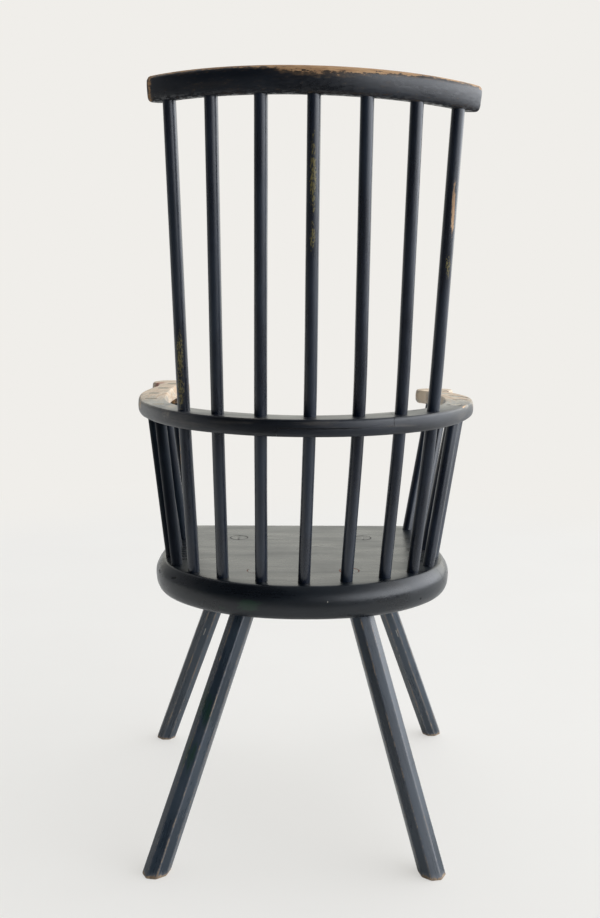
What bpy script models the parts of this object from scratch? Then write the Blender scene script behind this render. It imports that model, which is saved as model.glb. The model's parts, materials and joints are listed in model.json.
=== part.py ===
"""Comb-back stick armchair in black paint, as separate wooden pieces that fit together.

Metres, +Z up. The floor is z = 0, the sitter faces -Y and the sitter's left is +X.
Run it with: blender --background --python part.py
"""

import math

import bmesh
import bpy
from mathutils import Matrix, Vector

for old_object in list(bpy.data.objects):
    bpy.data.objects.remove(old_object, do_unlink=True)

# Fits
GLUE_GAP = 0.0003  # clear space between a piece and the piece it is glued into
OVERRUN = 0.020  # how far a cutter runs past what it cuts

# Seat
SEAT_TOP = 0.430
SEAT_WIDTH = 0.472  # across the top edge
SEAT_DEPTH = 0.393  # top edge, back to front
SEAT_THICK = 0.054
SEAT_BELLY = 0.012  # how far the side swells beyond the top edge
SEAT_BELLY_DROP = 0.024  # from the top edge down to the widest line
SEAT_UNDER_INSET = 0.016  # how far the rounded lower edge draws in
SEAT_UNDER_RISE = 0.025  # height of that rounding

# Legs and their tenons
REAR_FOOT_SPREAD = 0.418  # between the centres of the two rear feet
REAR_FOOT_BACK = 0.068  # behind the seat's back edge
FRONT_FOOT_SPREAD = 0.530
FRONT_FOOT_FORWARD = 0.0055  # in front of the seat's front edge
REAR_LEG_TOP = 0.0354  # across the flats of the octagon, at the seat
REAR_LEG_FOOT = 0.0377
FRONT_LEG_TOP = 0.0334
FRONT_LEG_FOOT = 0.0332
REAR_LEG_TURN = math.radians(10)  # a flat of each rear leg faces this much outwards from straight back
LEG_TENON = 0.028
LEG_TENON_SINK = 0.012  # length of tenon inside the octagon, so that the two join
FOOT_CHAMFER = 0.0020
LEG_WEDGE_THICK = 0.0034
LEG_WEDGE_TIP = 0.0014
LEG_WEDGE_LENGTH = 0.034

# Arm bow, sawn in two halves that lap behind the sitter
ARM_RISE = 0.260  # seat top to arm top
ARM_THICK = 0.026
ARM_SPAN = 0.585
ARM_REACH = 0.538  # back edge to the front of the hand-holds
ARM_SET_BACK = 0.055  # back edge of the arm behind the back edge of the seat
ARM_TOP_ROUND_RADIUS = 0.004
ARM_UNDER_ROUND_RADIUS = 0.006
LAP_LENGTH = 0.170
LAP_OFFSET = 0.0355  # middle of the lap, towards the sitter's right

# Comb
COMB_RISE = 0.4355  # arm top to the underside of the comb, at its middle
COMB_TALL = 0.0353
COMB_THICK = 0.028
COMB_RADIUS = 0.330  # of the curve through the sticks, seen from above
COMB_LENGTH = 0.499  # along that curve
COMB_SET_BACK = 0.063  # that curve's middle behind the seat's back edge
COMB_ROUND_RADIUS = 0.0065
COMB_END_ROUND_RADIUS = 0.0045

# Sticks
STICK_LOW = 0.0194  # diameter of a back stick from the seat to the arm
STICK_HIGH = 0.0192  # and at the comb
STICK_BEND_REACH = 0.090  # stretch on each side of the arm in which a back stick bends
SHORT_STICK = 0.0190
SEAT_MORTISE = 0.030
COMB_MORTISE = 0.022
ARM_WEDGE_THICK = 0.0028
ARM_WEDGE_TIP = 0.0012
ARM_WEDGE_LENGTH = 0.019

# The chair was made by eye: each level stands a little to one side of the back sticks' sockets,
# with the sitter's left positive
REAR_FEET_DRIFT = 0.0145
FRONT_FEET_DRIFT = 0.009
FRONT_FEET_SKEW = 0.0105  # the front left foot stands this much behind their common line, the right one before it
ARM_DRIFT = -0.009
COMB_DRIFT = -0.0115
COMB_DROP = 0.0125  # the comb's right end stands this much below its left end
SEAT_SKEW = 0.009  # the front of the seat stands this much to the left of its back
ARM_SKEW = 0.014
ARM_CLIMB_START_SHARE = 0.45  # of the arm's reach: level behind this line, then bent to each hand-hold
LEFT_ARM_CLIMB = 0.0115  # the left hand-hold stands this much above the bow
RIGHT_ARM_CLIMB = -0.0035

# Plans, as shares of half the width and of the depth from the back edge, middle back to middle front
SEAT_OUTLINE_SHARES = (
    (0.0, 0.0),
    (0.25, 0.012),
    (0.47, 0.050),
    (0.67, 0.117),
    (0.84, 0.212),
    (0.945, 0.315),
    (0.992, 0.425),
    (1.0, 0.53),
    (0.983, 0.67),
    (0.945, 0.84),
    (0.918, 0.94),
    (0.893, 0.982),
    (0.845, 1.0),
    (0.60, 1.0),
    (0.0, 1.0),
)
ARM_OUTER_SHARES = (
    (0.0, 0.0),
    (0.243, 0.017),
    (0.451, 0.069),
    (0.625, 0.141),
    (0.764, 0.238),
    (0.868, 0.346),
    (0.951, 0.467),
    (0.990, 0.578),
    (0.995, 0.680),
    (0.968, 0.773),
    (0.938, 0.842),
    (0.952, 0.894),
    (0.990, 0.930),
    (0.990, 0.965),
    (0.940, 0.994),
    (0.868, 1.0),
)
ARM_INNER_SHARES = (
    (0.0, 0.106),
    (0.208, 0.128),
    (0.382, 0.178),
    (0.521, 0.234),
    (0.642, 0.301),
    (0.729, 0.378),
    (0.792, 0.478),
    (0.820, 0.590),
    (0.825, 0.717),
    (0.814, 0.815),
    (0.795, 0.872),
    (0.770, 0.906),
    (0.748, 0.931),
    (0.756, 0.960),
    (0.800, 0.989),
)
BACK_STICK_SEAT_SHARES = ((0.0, 0.053), (0.278, 0.076), (0.536, 0.125), (0.739, 0.204))
BACK_STICK_ARM_SHARES = ((0.0, 0.070), (0.247, 0.087), (0.468, 0.134), (0.652, 0.207))
BACK_STICK_COMB_SHARES = (0.0, 0.287, 0.580, 0.872)
SHORT_STICK_SEAT_SHARES = ((0.870, 0.300), (0.935, 0.437), (0.922, 0.583), (0.900, 0.740), (0.862, 0.936))
SHORT_STICK_ARM_SHARES = ((0.824, 0.377), (0.900, 0.517), (0.912, 0.643), (0.886, 0.773), (0.850, 0.890))
REAR_SOCKET_SHARES = (0.313, 0.214)
FRONT_SOCKET_SHARES = (0.475, 0.756)

# Facets
LEG_SIDES = 8
STICK_SIDES = 16
TENON_SIDES = 24
ROUND_STEPS = 4
ARM_ROUND_STEPS = 3
COMB_STEPS = 28
BEND_STEPS = 8
SMOOTH_ANGLE = math.radians(40.0)

# Levels and places that follow from the sizes
SEAT_UNDER = SEAT_TOP - SEAT_THICK
ARM_TOP = SEAT_TOP + ARM_RISE
ARM_UNDER = ARM_TOP - ARM_THICK
COMB_UNDER = ARM_TOP + COMB_RISE
FRONT_REACH = ARM_REACH - ARM_SET_BACK
REAR_REACH = REAR_FOOT_BACK + REAR_LEG_FOOT / 2
BACK_EDGE_Y = (FRONT_REACH - REAR_REACH) / 2  # puts the middle of the whole chair at y = 0
CLIMB_START_Y = BACK_EDGE_Y + ARM_SET_BACK - ARM_CLIMB_START_SHARE * ARM_REACH
CLIMB_RUN = (1 - ARM_CLIMB_START_SHARE) * ARM_REACH
COMB_HALF_ANGLE = COMB_LENGTH / COMB_RADIUS / 2
COMB_CHORD = 2 * COMB_RADIUS * math.sin(COMB_HALF_ANGLE)
SIDES = (("left", 1.0), ("right", -1.0))
UP = Vector((0, 0, 1))

chair = bpy.data.collections.new("comb_back_chair")
cutters = bpy.data.collections.new("cutters")
bpy.context.scene.collection.children.link(chair)
bpy.context.scene.collection.children.link(cutters)


def finish(name, colour, roughness):
    """A plain Principled material in a piece's own colour."""
    material = bpy.data.materials.new(name)
    material.use_nodes = True
    shader = material.node_tree.nodes["Principled BSDF"]
    shader.inputs["Base Color"].default_value = (*colour, 1.0)
    shader.inputs["Roughness"].default_value = roughness
    shader.inputs["Metallic"].default_value = 0.0
    material.diffuse_color = (*colour, 1.0)
    return material


def mesh_from(bm, name):
    """Closes a bmesh's work: welded, faces outward, written to a new mesh."""
    bmesh.ops.remove_doubles(bm, verts=bm.verts, dist=GLUE_GAP / 100)
    bmesh.ops.recalc_face_normals(bm, faces=bm.faces)
    mesh = bpy.data.meshes.new(name)
    bm.to_mesh(mesh)
    bm.free()
    return mesh


def piece(name, data, material):
    """A named sub-part of the chair."""
    data.materials.clear()
    data.materials.append(material)
    made = bpy.data.objects.new(name, data)
    chair.objects.link(made)
    if isinstance(data, bpy.types.Mesh):
        data.shade_smooth()
        data.set_sharp_from_angle(angle=SMOOTH_ANGLE)
    return made


def cutter(name, meshes):
    """One hidden object that holds all the solids that cut the same piece."""
    joined = bmesh.new()
    for mesh in meshes:
        joined.from_mesh(mesh)
    made = bpy.data.objects.new(name, mesh_from(joined, name))
    made.display_type = "WIRE"
    made.hide_render = True
    cutters.objects.link(made)
    return made


def cut(target, tool, operation="DIFFERENCE"):
    """An exact Boolean that stays editable on the piece."""
    step = target.modifiers.new(tool.name, "BOOLEAN")
    step.operation = operation
    step.solver = "EXACT"
    step.object = tool


def smooth_loop(points, steps=3):
    """Closed Catmull-Rom line through hand-placed points."""
    loop = []
    count = len(points)
    for i in range(count):
        before, start, end, after = (points[(i + k) % count] for k in (-1, 0, 1, 2))
        for j in range(steps):
            t = j / steps
            bend = (2 * before - 5 * start + 4 * end - after) * t**2
            twist = (3 * start - before - 3 * end + after) * t**3
            loop.append((2 * start + (end - before) * t + bend + twist) / 2)
    return loop


def mirrored(half):
    """A whole outline from its +X half, whose ends lie on the middle line."""
    other = [Vector((-p.x, p.y)) for p in reversed(half) if abs(p.x) > GLUE_GAP]
    return half + other


def offset_loop(loop, distance):
    """The same outline moved outward by a distance."""
    moved = []
    count = len(loop)
    area = sum(loop[i - 1].cross(loop[i]) for i in range(count))
    turn = 1.0 if area > 0 else -1.0
    for i in range(count):
        along = (loop[(i + 1) % count] - loop[i - 1]).normalized()
        moved.append(loop[i] + Vector((along.y, -along.x)) * distance * turn)
    return moved


def quarter_round(inset, rise, steps=ROUND_STEPS):
    """Inset and rise of each step of a quarter round that starts upright."""
    angles = [math.pi / 2 * k / steps for k in range(steps + 1)]
    insets = [inset * (1 - math.cos(a)) for a in angles]
    rises = [rise * math.sin(a) for a in angles]
    return [(insets[k + 1] - insets[k], rises[k + 1] - rises[k]) for k in range(steps)]


def belly_curve(inset, rise, steps=ROUND_STEPS):
    """Inset and rise of each step of a swelling side that ends in a crisp edge."""
    heights = [k / steps for k in range(steps + 1)]
    return [
        (inset * (heights[k + 1] ** 2 - heights[k] ** 2), rise * (heights[k + 1] - heights[k]))
        for k in range(steps)
    ]


def slab_mesh(name, loop, widest_low, widest_high, top_steps, under_steps):
    """A board cut to an outline, with its edges worked by steps of inset and depth."""
    bm = bmesh.new()
    under = bm.faces.new([bm.verts.new((p.x, p.y, widest_low)) for p in loop])
    grown = bmesh.ops.extrude_face_region(bm, geom=[under])["geom"]
    top = next(item for item in grown if isinstance(item, bmesh.types.BMFace))
    bmesh.ops.translate(bm, verts=top.verts, vec=(0, 0, widest_high - widest_low))
    bm.faces.remove(under)
    under = bmesh.ops.holes_fill(bm, edges=bm.edges)["faces"][0]
    bmesh.ops.recalc_face_normals(bm, faces=bm.faces)
    for face, steps in ((top, top_steps), (under, under_steps)):
        for inset, rise in steps:
            bmesh.ops.inset_region(
                bm, faces=[face], thickness=inset, depth=rise, use_boundary=True, use_even_offset=True
            )
    return mesh_from(bm, name)


def aim(start, end):
    """Frame at start whose Z runs to end and whose X stays as near world X as it can."""
    z_axis = (end - start).normalized()
    y_axis = z_axis.cross(Vector((1, 0, 0))).normalized()
    x_axis = y_axis.cross(z_axis)
    turn = Matrix((x_axis, y_axis, z_axis)).transposed().to_4x4()
    return Matrix.Translation(start) @ turn


def rod_mesh(start, end, radius, end_radius, sides):
    """A round or many-sided bar between two points."""
    bm = bmesh.new()
    length = (end - start).length
    half_side = Matrix.Rotation(math.pi / sides, 4, "Z")
    place = aim(start, end) @ Matrix.Translation((0, 0, length / 2)) @ half_side
    bmesh.ops.create_cone(
        bm, cap_ends=True, segments=sides, radius1=radius, radius2=end_radius, depth=length, matrix=place
    )
    return mesh_from(bm, "rod")


def trimmed(mesh, place, up, keep_below):
    """Saws a mesh off at a plane and closes the sawn face."""
    bm = bmesh.new()
    bm.from_mesh(mesh)
    geometry = bm.verts[:] + bm.edges[:] + bm.faces[:]
    bmesh.ops.bisect_plane(
        bm,
        geom=geometry,
        dist=GLUE_GAP / 100,
        plane_co=place,
        plane_no=up,
        clear_outer=keep_below,
        clear_inner=not keep_below,
    )
    bmesh.ops.holes_fill(bm, edges=[edge for edge in bm.edges if edge.is_boundary])
    return mesh_from(bm, mesh.name)


def wedge_mesh(place, up, across, width, thick, tip, length, clear):
    """A tapered wedge driven in from place against up, whose broad side runs along across."""
    bm = bmesh.new()
    bmesh.ops.create_cube(bm, size=2)
    slope = (thick - tip) / length
    flat = (across - up * across.dot(up)).normalized()
    normal = up.cross(flat)
    for corner in bm.verts:
        height = OVERRUN if corner.co.z > 0 else -(length + clear)
        half = (thick + slope * height) / 2 + clear
        offset = flat * corner.co.x * width / 2 + normal * corner.co.y * half
        corner.co = place + up * height + offset
    return mesh_from(bm, "wedge")


def tube_data(name, points, radii):
    """A curve object's data: a straight-sided tube through points, with its own radius at each."""
    data = bpy.data.curves.new(name, "CURVE")
    data.dimensions = "3D"
    data.bevel_depth = 1.0
    data.bevel_resolution = (STICK_SIDES - 4) // 2
    data.use_fill_caps = True
    line = data.splines.new("POLY")
    line.points.add(len(points) - 1)
    for slot, point, radius in zip(line.points, points, radii):
        slot.co = (*point, 1.0)
        slot.radius = radius
    return data


def tube_mesh(name, points, radii):
    """The same tube as a closed mesh, for cutting."""
    holder = bpy.data.objects.new(name, tube_data(name, points, radii))
    cutters.objects.link(holder)
    bpy.context.view_layer.update()
    ready = holder.evaluated_get(bpy.context.evaluated_depsgraph_get())
    mesh = bpy.data.meshes.new_from_object(ready)
    mesh.transform(holder.matrix_world)
    bpy.data.objects.remove(holder, do_unlink=True)
    bm = bmesh.new()
    bm.from_mesh(mesh)
    return mesh_from(bm, name)


def seat_plan(across, forward):
    """A place on the seat, by its lengths across and forward of the middle of the back edge."""
    return Vector((across + SEAT_SKEW * forward / SEAT_DEPTH, BACK_EDGE_Y - forward, SEAT_TOP))


def arm_plan(across, forward):
    """The same for the arm bow, before its two arms are bent out of the level."""
    drift = ARM_DRIFT + ARM_SKEW * forward / ARM_REACH
    return Vector((across + drift, BACK_EDGE_Y + ARM_SET_BACK - forward, ARM_TOP))


def arm_slope(place):
    """How fast the arm climbs at a place: not at all behind the sitter."""
    if place.y > CLIMB_START_Y:
        return 0.0
    return (LEFT_ARM_CLIMB if place.x > 0 else RIGHT_ARM_CLIMB) / CLIMB_RUN


def arm_climb(place):
    return arm_slope(place) * (CLIMB_START_Y - place.y)


def arm_up(place):
    """Direction square to the arm's top."""
    return Vector((0, arm_slope(place), 1)).normalized()


def on_seat(shares, side=1.0):
    return seat_plan(side * shares[0] * SEAT_WIDTH / 2, shares[1] * SEAT_DEPTH)


def on_arm(shares, side=1.0):
    place = arm_plan(side * shares[0] * ARM_SPAN / 2, shares[1] * ARM_REACH)
    return place + UP * arm_climb(place)


COMB_TILT = Matrix.Rotation(-math.asin(COMB_DROP / COMB_CHORD), 4, "Y")
COMB_PLACE = Matrix.Translation((COMB_DRIFT, BACK_EDGE_Y + COMB_SET_BACK, COMB_UNDER)) @ COMB_TILT
COMB_CENTRE = Vector((0, -COMB_RADIUS, 0))


def on_comb(share, side=1.0):
    angle = side * share * COMB_HALF_ANGLE
    local = COMB_CENTRE + COMB_RADIUS * Vector((math.sin(angle), math.cos(angle), 0))
    return COMB_PLACE @ local


# Finishes, one for each kind of piece
SEAT_PAINT = finish("seat_paint", (0.060, 0.062, 0.062), 0.42)
LEG_PAINT = finish("leg_paint", (0.020, 0.024, 0.030), 0.40)
ARM_PAINT = finish("arm_paint", (0.055, 0.057, 0.058), 0.40)
COMB_PAINT = finish("comb_paint", (0.030, 0.032, 0.036), 0.42)
STICK_PAINT = finish("stick_paint", (0.016, 0.021, 0.028), 0.40)
WEDGE_PAINT = finish("wedge_paint", (0.120, 0.100, 0.080), 0.55)

# Seat board
seat_half = [Vector((x * SEAT_WIDTH / 2, forward * SEAT_DEPTH)) for x, forward in SEAT_OUTLINE_SHARES]
seat_loop = [seat_plan(*p).to_2d() for p in smooth_loop(mirrored(seat_half), steps=4)]
seat_mesh = slab_mesh(
    "seat",
    offset_loop(seat_loop, SEAT_BELLY),
    SEAT_UNDER + SEAT_UNDER_RISE,
    SEAT_TOP - SEAT_BELLY_DROP,
    belly_curve(SEAT_BELLY, SEAT_BELLY_DROP),
    quarter_round(SEAT_UNDER_INSET, SEAT_UNDER_RISE),
)
seat = piece("seat", seat_mesh, SEAT_PAINT)
seat_cuts = []


def make_leg(name, socket, foot, top_width, foot_width, turn):
    """An octagonal leg sawn level at the floor, its round tenon through the seat, and its wedge."""
    along = (socket - foot).normalized()
    past_foot = foot - along * OVERRUN
    past_top = socket + along * OVERRUN
    to_corner = 1 / math.cos(math.pi / LEG_SIDES)
    body = rod_mesh(past_foot, past_top, foot_width / 2 * to_corner, top_width / 2 * to_corner, LEG_SIDES)
    body.transform(Matrix.Translation(foot) @ Matrix.Rotation(turn, 4, along) @ Matrix.Translation(-foot))
    body = trimmed(body, foot, UP, keep_below=False)
    body = trimmed(body, UP * (SEAT_UNDER - GLUE_GAP), UP, keep_below=True)
    bm = bmesh.new()
    bm.from_mesh(body)
    sole = [edge for edge in bm.edges if all(abs(v.co.z) < GLUE_GAP for v in edge.verts)]
    bmesh.ops.bevel(bm, geom=sole, offset=FOOT_CHAMFER, segments=2, profile=0.5, affect="EDGES")
    leg = piece(name, mesh_from(bm, name), LEG_PAINT)

    tenon_start = foot.lerp(socket, SEAT_UNDER / SEAT_TOP) - along * LEG_TENON_SINK
    tenon = rod_mesh(tenon_start, past_top, LEG_TENON / 2, LEG_TENON / 2, TENON_SIDES)
    tenon = trimmed(tenon, socket, UP, keep_below=True)
    cut(leg, cutter(name + "_tenon", [tenon]), "UNION")

    chord = math.sqrt(LEG_TENON**2 - LEG_WEDGE_THICK**2)
    across = Vector((0, 1, 0))
    size = (LEG_WEDGE_THICK, LEG_WEDGE_TIP, LEG_WEDGE_LENGTH)
    kerf = wedge_mesh(socket, along, across, LEG_TENON + OVERRUN, *size, GLUE_GAP)
    cut(leg, cutter(name + "_kerf", [kerf]))
    wedge = wedge_mesh(socket, along, across, chord, *size, 0.0)
    piece(name.replace("leg", "leg_wedge"), trimmed(wedge, socket, UP, keep_below=True), WEDGE_PAINT)

    hole_radius = LEG_TENON / 2 + GLUE_GAP
    seat_cuts.append(rod_mesh(tenon_start, past_top, hole_radius, hole_radius, TENON_SIDES))


for side_name, side in SIDES:
    rear_foot = Vector((side * REAR_FOOT_SPREAD / 2 + REAR_FEET_DRIFT, BACK_EDGE_Y + REAR_FOOT_BACK, 0))
    front_y = BACK_EDGE_Y - SEAT_DEPTH - FRONT_FOOT_FORWARD
    front_foot = Vector((side * FRONT_FOOT_SPREAD / 2 + FRONT_FEET_DRIFT, front_y + side * FRONT_FEET_SKEW, 0))
    rear_socket = on_seat(REAR_SOCKET_SHARES, side)
    front_socket = on_seat(FRONT_SOCKET_SHARES, side)
    make_leg("leg_rear_" + side_name, rear_socket, rear_foot, REAR_LEG_TOP, REAR_LEG_FOOT, -side * REAR_LEG_TURN)
    make_leg("leg_front_" + side_name, front_socket, front_foot, FRONT_LEG_TOP, FRONT_LEG_FOOT, 0.0)

# Arm bow, cut as one outline and parted at the lap
arm_shares = ARM_OUTER_SHARES + ARM_INNER_SHARES[::-1]
arm_half = [Vector((x * ARM_SPAN / 2, forward * ARM_REACH)) for x, forward in arm_shares]
arm_loop = [arm_plan(*p).to_2d() for p in smooth_loop(mirrored(arm_half))]
arm_mesh = slab_mesh(
    "arm",
    arm_loop,
    ARM_UNDER + ARM_UNDER_ROUND_RADIUS,
    ARM_TOP - ARM_TOP_ROUND_RADIUS,
    quarter_round(ARM_TOP_ROUND_RADIUS, ARM_TOP_ROUND_RADIUS, ARM_ROUND_STEPS),
    quarter_round(ARM_UNDER_ROUND_RADIUS, ARM_UNDER_ROUND_RADIUS, ARM_ROUND_STEPS),
)
arm_cuts = []


def climbing(mesh):
    """The same bow with its two arms bent out of the level."""
    bm = bmesh.new()
    bm.from_mesh(mesh)
    geometry = bm.verts[:] + bm.edges[:] + bm.faces[:]
    start = Vector((0, CLIMB_START_Y, 0))
    bmesh.ops.bisect_plane(bm, geom=geometry, dist=GLUE_GAP / 100, plane_co=start, plane_no=(0, 1, 0))
    for corner in bm.verts:
        corner.co.z += arm_climb(corner.co)
    return mesh_from(bm, mesh.name)


def lap_cutter(side_name, side):
    """Removes the other half of the bow, with a step at half thickness for the lap."""
    middle = (ARM_TOP + ARM_UNDER) / 2 + side * GLUE_GAP / 2
    low_end = ARM_DRIFT - LAP_OFFSET + LAP_LENGTH / 2 + side * GLUE_GAP / 2
    high_end = ARM_DRIFT - LAP_OFFSET - LAP_LENGTH / 2 + side * GLUE_GAP / 2
    far = ARM_DRIFT - side * (ARM_SPAN / 2 + OVERRUN)
    low, high = ARM_UNDER - OVERRUN, ARM_TOP + OVERRUN
    lower = ((far, low), (low_end, low), (low_end, middle))
    upper = ((high_end, middle), (high_end, high), (far, high))
    bm = bmesh.new()
    back = BACK_EDGE_Y + ARM_SET_BACK + OVERRUN
    face = bm.faces.new([bm.verts.new((x, back, z)) for x, z in lower + upper])
    grown = bmesh.ops.extrude_face_region(bm, geom=[face])["geom"]
    moved = [item for item in grown if isinstance(item, bmesh.types.BMVert)]
    bmesh.ops.translate(bm, verts=moved, vec=(0, -ARM_REACH - 2 * OVERRUN, 0))
    return cutter("arm_lap_" + side_name, [mesh_from(bm, "lap")])


# Comb: its rounded section spun through the curve, leaning back with the sticks
def comb_lean():
    """Angle at which the middle stick leans back above the arm."""
    rise = on_comb(0.0) - on_arm(BACK_STICK_ARM_SHARES[0])
    return math.atan2(rise.y, rise.z)


def rounded_section(width, height, radius, steps=ROUND_STEPS):
    """Section standing on z = 0, as points in Y and Z."""
    points = []
    for turn, y, z in ((0, 1, 1), (1, -1, 1), (2, -1, 0), (3, 1, 0)):
        centre_y = y * (width / 2 - radius)
        centre_z = height - radius if z else radius
        for k in range(steps + 1):
            angle = math.pi / 2 * (turn + k / steps)
            corner = Vector((0, math.cos(angle), math.sin(angle))) * radius
            points.append(Vector((0, centre_y, centre_z)) + corner)
    return points


comb_bm = bmesh.new()
lean = Matrix.Rotation(-comb_lean(), 4, "X")
section = [comb_bm.verts.new(lean @ p) for p in rounded_section(COMB_THICK, COMB_TALL, COMB_ROUND_RADIUS)]
comb_face = comb_bm.faces.new(section)
start_turn = Matrix.Rotation(COMB_HALF_ANGLE, 4, "Z")
bmesh.ops.rotate(comb_bm, verts=section, cent=COMB_CENTRE, matrix=start_turn)
bmesh.ops.spin(
    comb_bm,
    geom=[comb_face],
    cent=COMB_CENTRE,
    axis=UP,
    angle=-2 * COMB_HALF_ANGLE,
    steps=COMB_STEPS,
)
end_faces = [face for face in comb_bm.faces if len(face.verts) == len(section)]
end_edges = [edge for face in end_faces for edge in face.edges]
bmesh.ops.bevel(comb_bm, geom=end_edges, offset=COMB_END_ROUND_RADIUS, segments=3, profile=0.5, affect="EDGES")
comb_mesh = mesh_from(comb_bm, "comb")
comb_mesh.transform(COMB_PLACE)
comb_cuts = []


def back_stick_path(number, side, longer):
    """Points of a long stick: up from the seat, bent smoothly at the arm, on to the comb."""
    low = on_seat(BACK_STICK_SEAT_SHARES[number], side)
    knee = on_arm(BACK_STICK_ARM_SHARES[number], side)
    high = on_comb(BACK_STICK_COMB_SHARES[number], side)
    first = (knee - low).normalized()
    second = (high - knee).normalized()
    enter = knee - first * STICK_BEND_REACH
    leave = knee + second * STICK_BEND_REACH
    steps = [k / BEND_STEPS for k in range(BEND_STEPS + 1)]
    bend = [enter.lerp(knee, t).lerp(knee.lerp(leave, t), t) for t in steps]
    return [low - first * (SEAT_MORTISE + longer)] + bend + [high + second * (COMB_MORTISE + longer)]


def back_stick_radii(points, wider):
    """Even up to the bend's end, then a slight taper to the comb."""
    return [STICK_LOW / 2 + wider] * (len(points) - 1) + [STICK_HIGH / 2 + wider]


def make_back_stick(name, number, side):
    points = back_stick_path(number, side, 0.0)
    piece(name, tube_data(name, points, back_stick_radii(points, 0.0)), STICK_PAINT)
    points = back_stick_path(number, side, GLUE_GAP)
    hole = tube_mesh(name + "_hole", points, back_stick_radii(points, GLUE_GAP))
    for cuts in (seat_cuts, arm_cuts, comb_cuts):
        cuts.append(hole)


def make_short_stick(side_name, side, number):
    """A straight stick from the seat through the arm, sawn flush, split and wedged."""
    name = f"short_stick_{side_name}_{number + 1}"
    low = on_seat(SHORT_STICK_SEAT_SHARES[number], side)
    high = on_arm(SHORT_STICK_ARM_SHARES[number], side)
    along = (high - low).normalized()
    radius = SHORT_STICK / 2
    past_top = high + along * OVERRUN
    foot = low - along * SEAT_MORTISE
    body = rod_mesh(foot, past_top, radius, radius, STICK_SIDES)
    stick = piece(name, trimmed(body, high, arm_up(high), keep_below=True), STICK_PAINT)

    across = Vector((1, 0, 0))
    size = (ARM_WEDGE_THICK, ARM_WEDGE_TIP, ARM_WEDGE_LENGTH)
    kerf = wedge_mesh(high, along, across, SHORT_STICK + OVERRUN, *size, GLUE_GAP)
    cut(stick, cutter(name + "_kerf", [kerf]))
    chord = math.sqrt(SHORT_STICK**2 - ARM_WEDGE_THICK**2)
    wedge = wedge_mesh(high, along, across, chord, *size, 0.0)
    wedge = trimmed(wedge, high, arm_up(high), keep_below=True)
    piece(f"arm_wedge_{side_name}_{number + 1}", wedge, WEDGE_PAINT)

    wide = radius + GLUE_GAP
    hole = rod_mesh(foot - along * GLUE_GAP, past_top, wide, wide, STICK_SIDES)
    seat_cuts.append(hole)
    arm_cuts.append(hole)


make_back_stick("back_stick_centre", 0, 1.0)
for side_name, side in SIDES:
    for number in range(1, len(BACK_STICK_SEAT_SHARES)):
        make_back_stick(f"back_stick_{side_name}_{number}", number, side)
    for number in range(len(SHORT_STICK_SEAT_SHARES)):
        make_short_stick(side_name, side, number)

cut(seat, cutter("seat_holes", seat_cuts))
comb = piece("comb", comb_mesh, COMB_PAINT)
cut(comb, cutter("comb_holes", comb_cuts))
arm_holes = cutter("arm_holes", arm_cuts)
bent_arm = climbing(arm_mesh)
for side_name, side in SIDES:
    half = piece("arm_" + side_name, bent_arm.copy(), ARM_PAINT)
    cut(half, lap_cutter(side_name, side))
    cut(half, arm_holes)

print(len(chair.objects), "pieces")
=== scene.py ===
# %% [markdown]
# # An old comb-back stick armchair in black paint
# The chair is seen from behind in soft window light. Its frame, 39 separate pieces of wood that fit
# into each other, comes ready measured from the CAD model. This lesson gives every piece the
# softened edges of hand tools and years of use, and then its worn black paint.
# All lengths are in metres, +Z is up and the sitter looks towards -Y.

# %% Load the frame
import json
import math

import bmesh
import bpy
import numpy as np
from mathutils import Matrix, Vector, noise
from mathutils.bvhtree import BVHTree

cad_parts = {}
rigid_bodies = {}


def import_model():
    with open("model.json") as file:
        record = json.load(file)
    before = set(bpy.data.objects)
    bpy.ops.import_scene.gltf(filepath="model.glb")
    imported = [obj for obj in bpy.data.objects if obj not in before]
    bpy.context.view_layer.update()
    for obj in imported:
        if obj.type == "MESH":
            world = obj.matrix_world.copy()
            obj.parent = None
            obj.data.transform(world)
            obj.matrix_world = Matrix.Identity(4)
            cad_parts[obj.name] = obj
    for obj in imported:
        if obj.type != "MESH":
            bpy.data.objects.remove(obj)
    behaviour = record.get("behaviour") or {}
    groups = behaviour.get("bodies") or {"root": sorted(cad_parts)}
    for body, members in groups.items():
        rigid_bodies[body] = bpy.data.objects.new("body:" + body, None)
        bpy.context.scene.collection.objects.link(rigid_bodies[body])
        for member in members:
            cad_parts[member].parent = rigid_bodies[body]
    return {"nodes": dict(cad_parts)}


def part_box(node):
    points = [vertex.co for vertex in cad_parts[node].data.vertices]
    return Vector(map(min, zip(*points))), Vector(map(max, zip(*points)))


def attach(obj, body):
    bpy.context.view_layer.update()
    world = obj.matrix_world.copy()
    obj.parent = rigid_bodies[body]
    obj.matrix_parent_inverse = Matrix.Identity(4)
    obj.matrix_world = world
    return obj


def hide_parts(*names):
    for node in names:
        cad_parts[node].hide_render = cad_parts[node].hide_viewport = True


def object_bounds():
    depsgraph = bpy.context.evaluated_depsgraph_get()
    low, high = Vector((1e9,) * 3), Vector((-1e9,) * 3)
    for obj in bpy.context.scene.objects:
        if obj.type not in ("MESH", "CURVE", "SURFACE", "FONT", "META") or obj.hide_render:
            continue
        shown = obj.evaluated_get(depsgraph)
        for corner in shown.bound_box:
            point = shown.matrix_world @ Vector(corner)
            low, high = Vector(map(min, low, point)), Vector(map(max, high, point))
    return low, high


for leftover in list(bpy.data.objects):
    bpy.data.objects.remove(leftover, do_unlink=True)
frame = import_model()
cad_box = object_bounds()
corners = [round(v, 4) for corner in cad_box for v in corner]
print("frame:", len(frame["nodes"]), "pieces, box", corners)

# %% [markdown]
# ## Borrowing a shape
# Each CAD piece arrives as loose flat triangles. For a real surface they have to be joined at
# their corners, so that neighbouring faces can share a normal and a modifier can flow over them.
# The CAD piece itself is never touched: a joined copy is worked on and then stands in for it.

# %% Copy a CAD piece with its corners joined
JOIN_WITHIN = 1e-5


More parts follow.
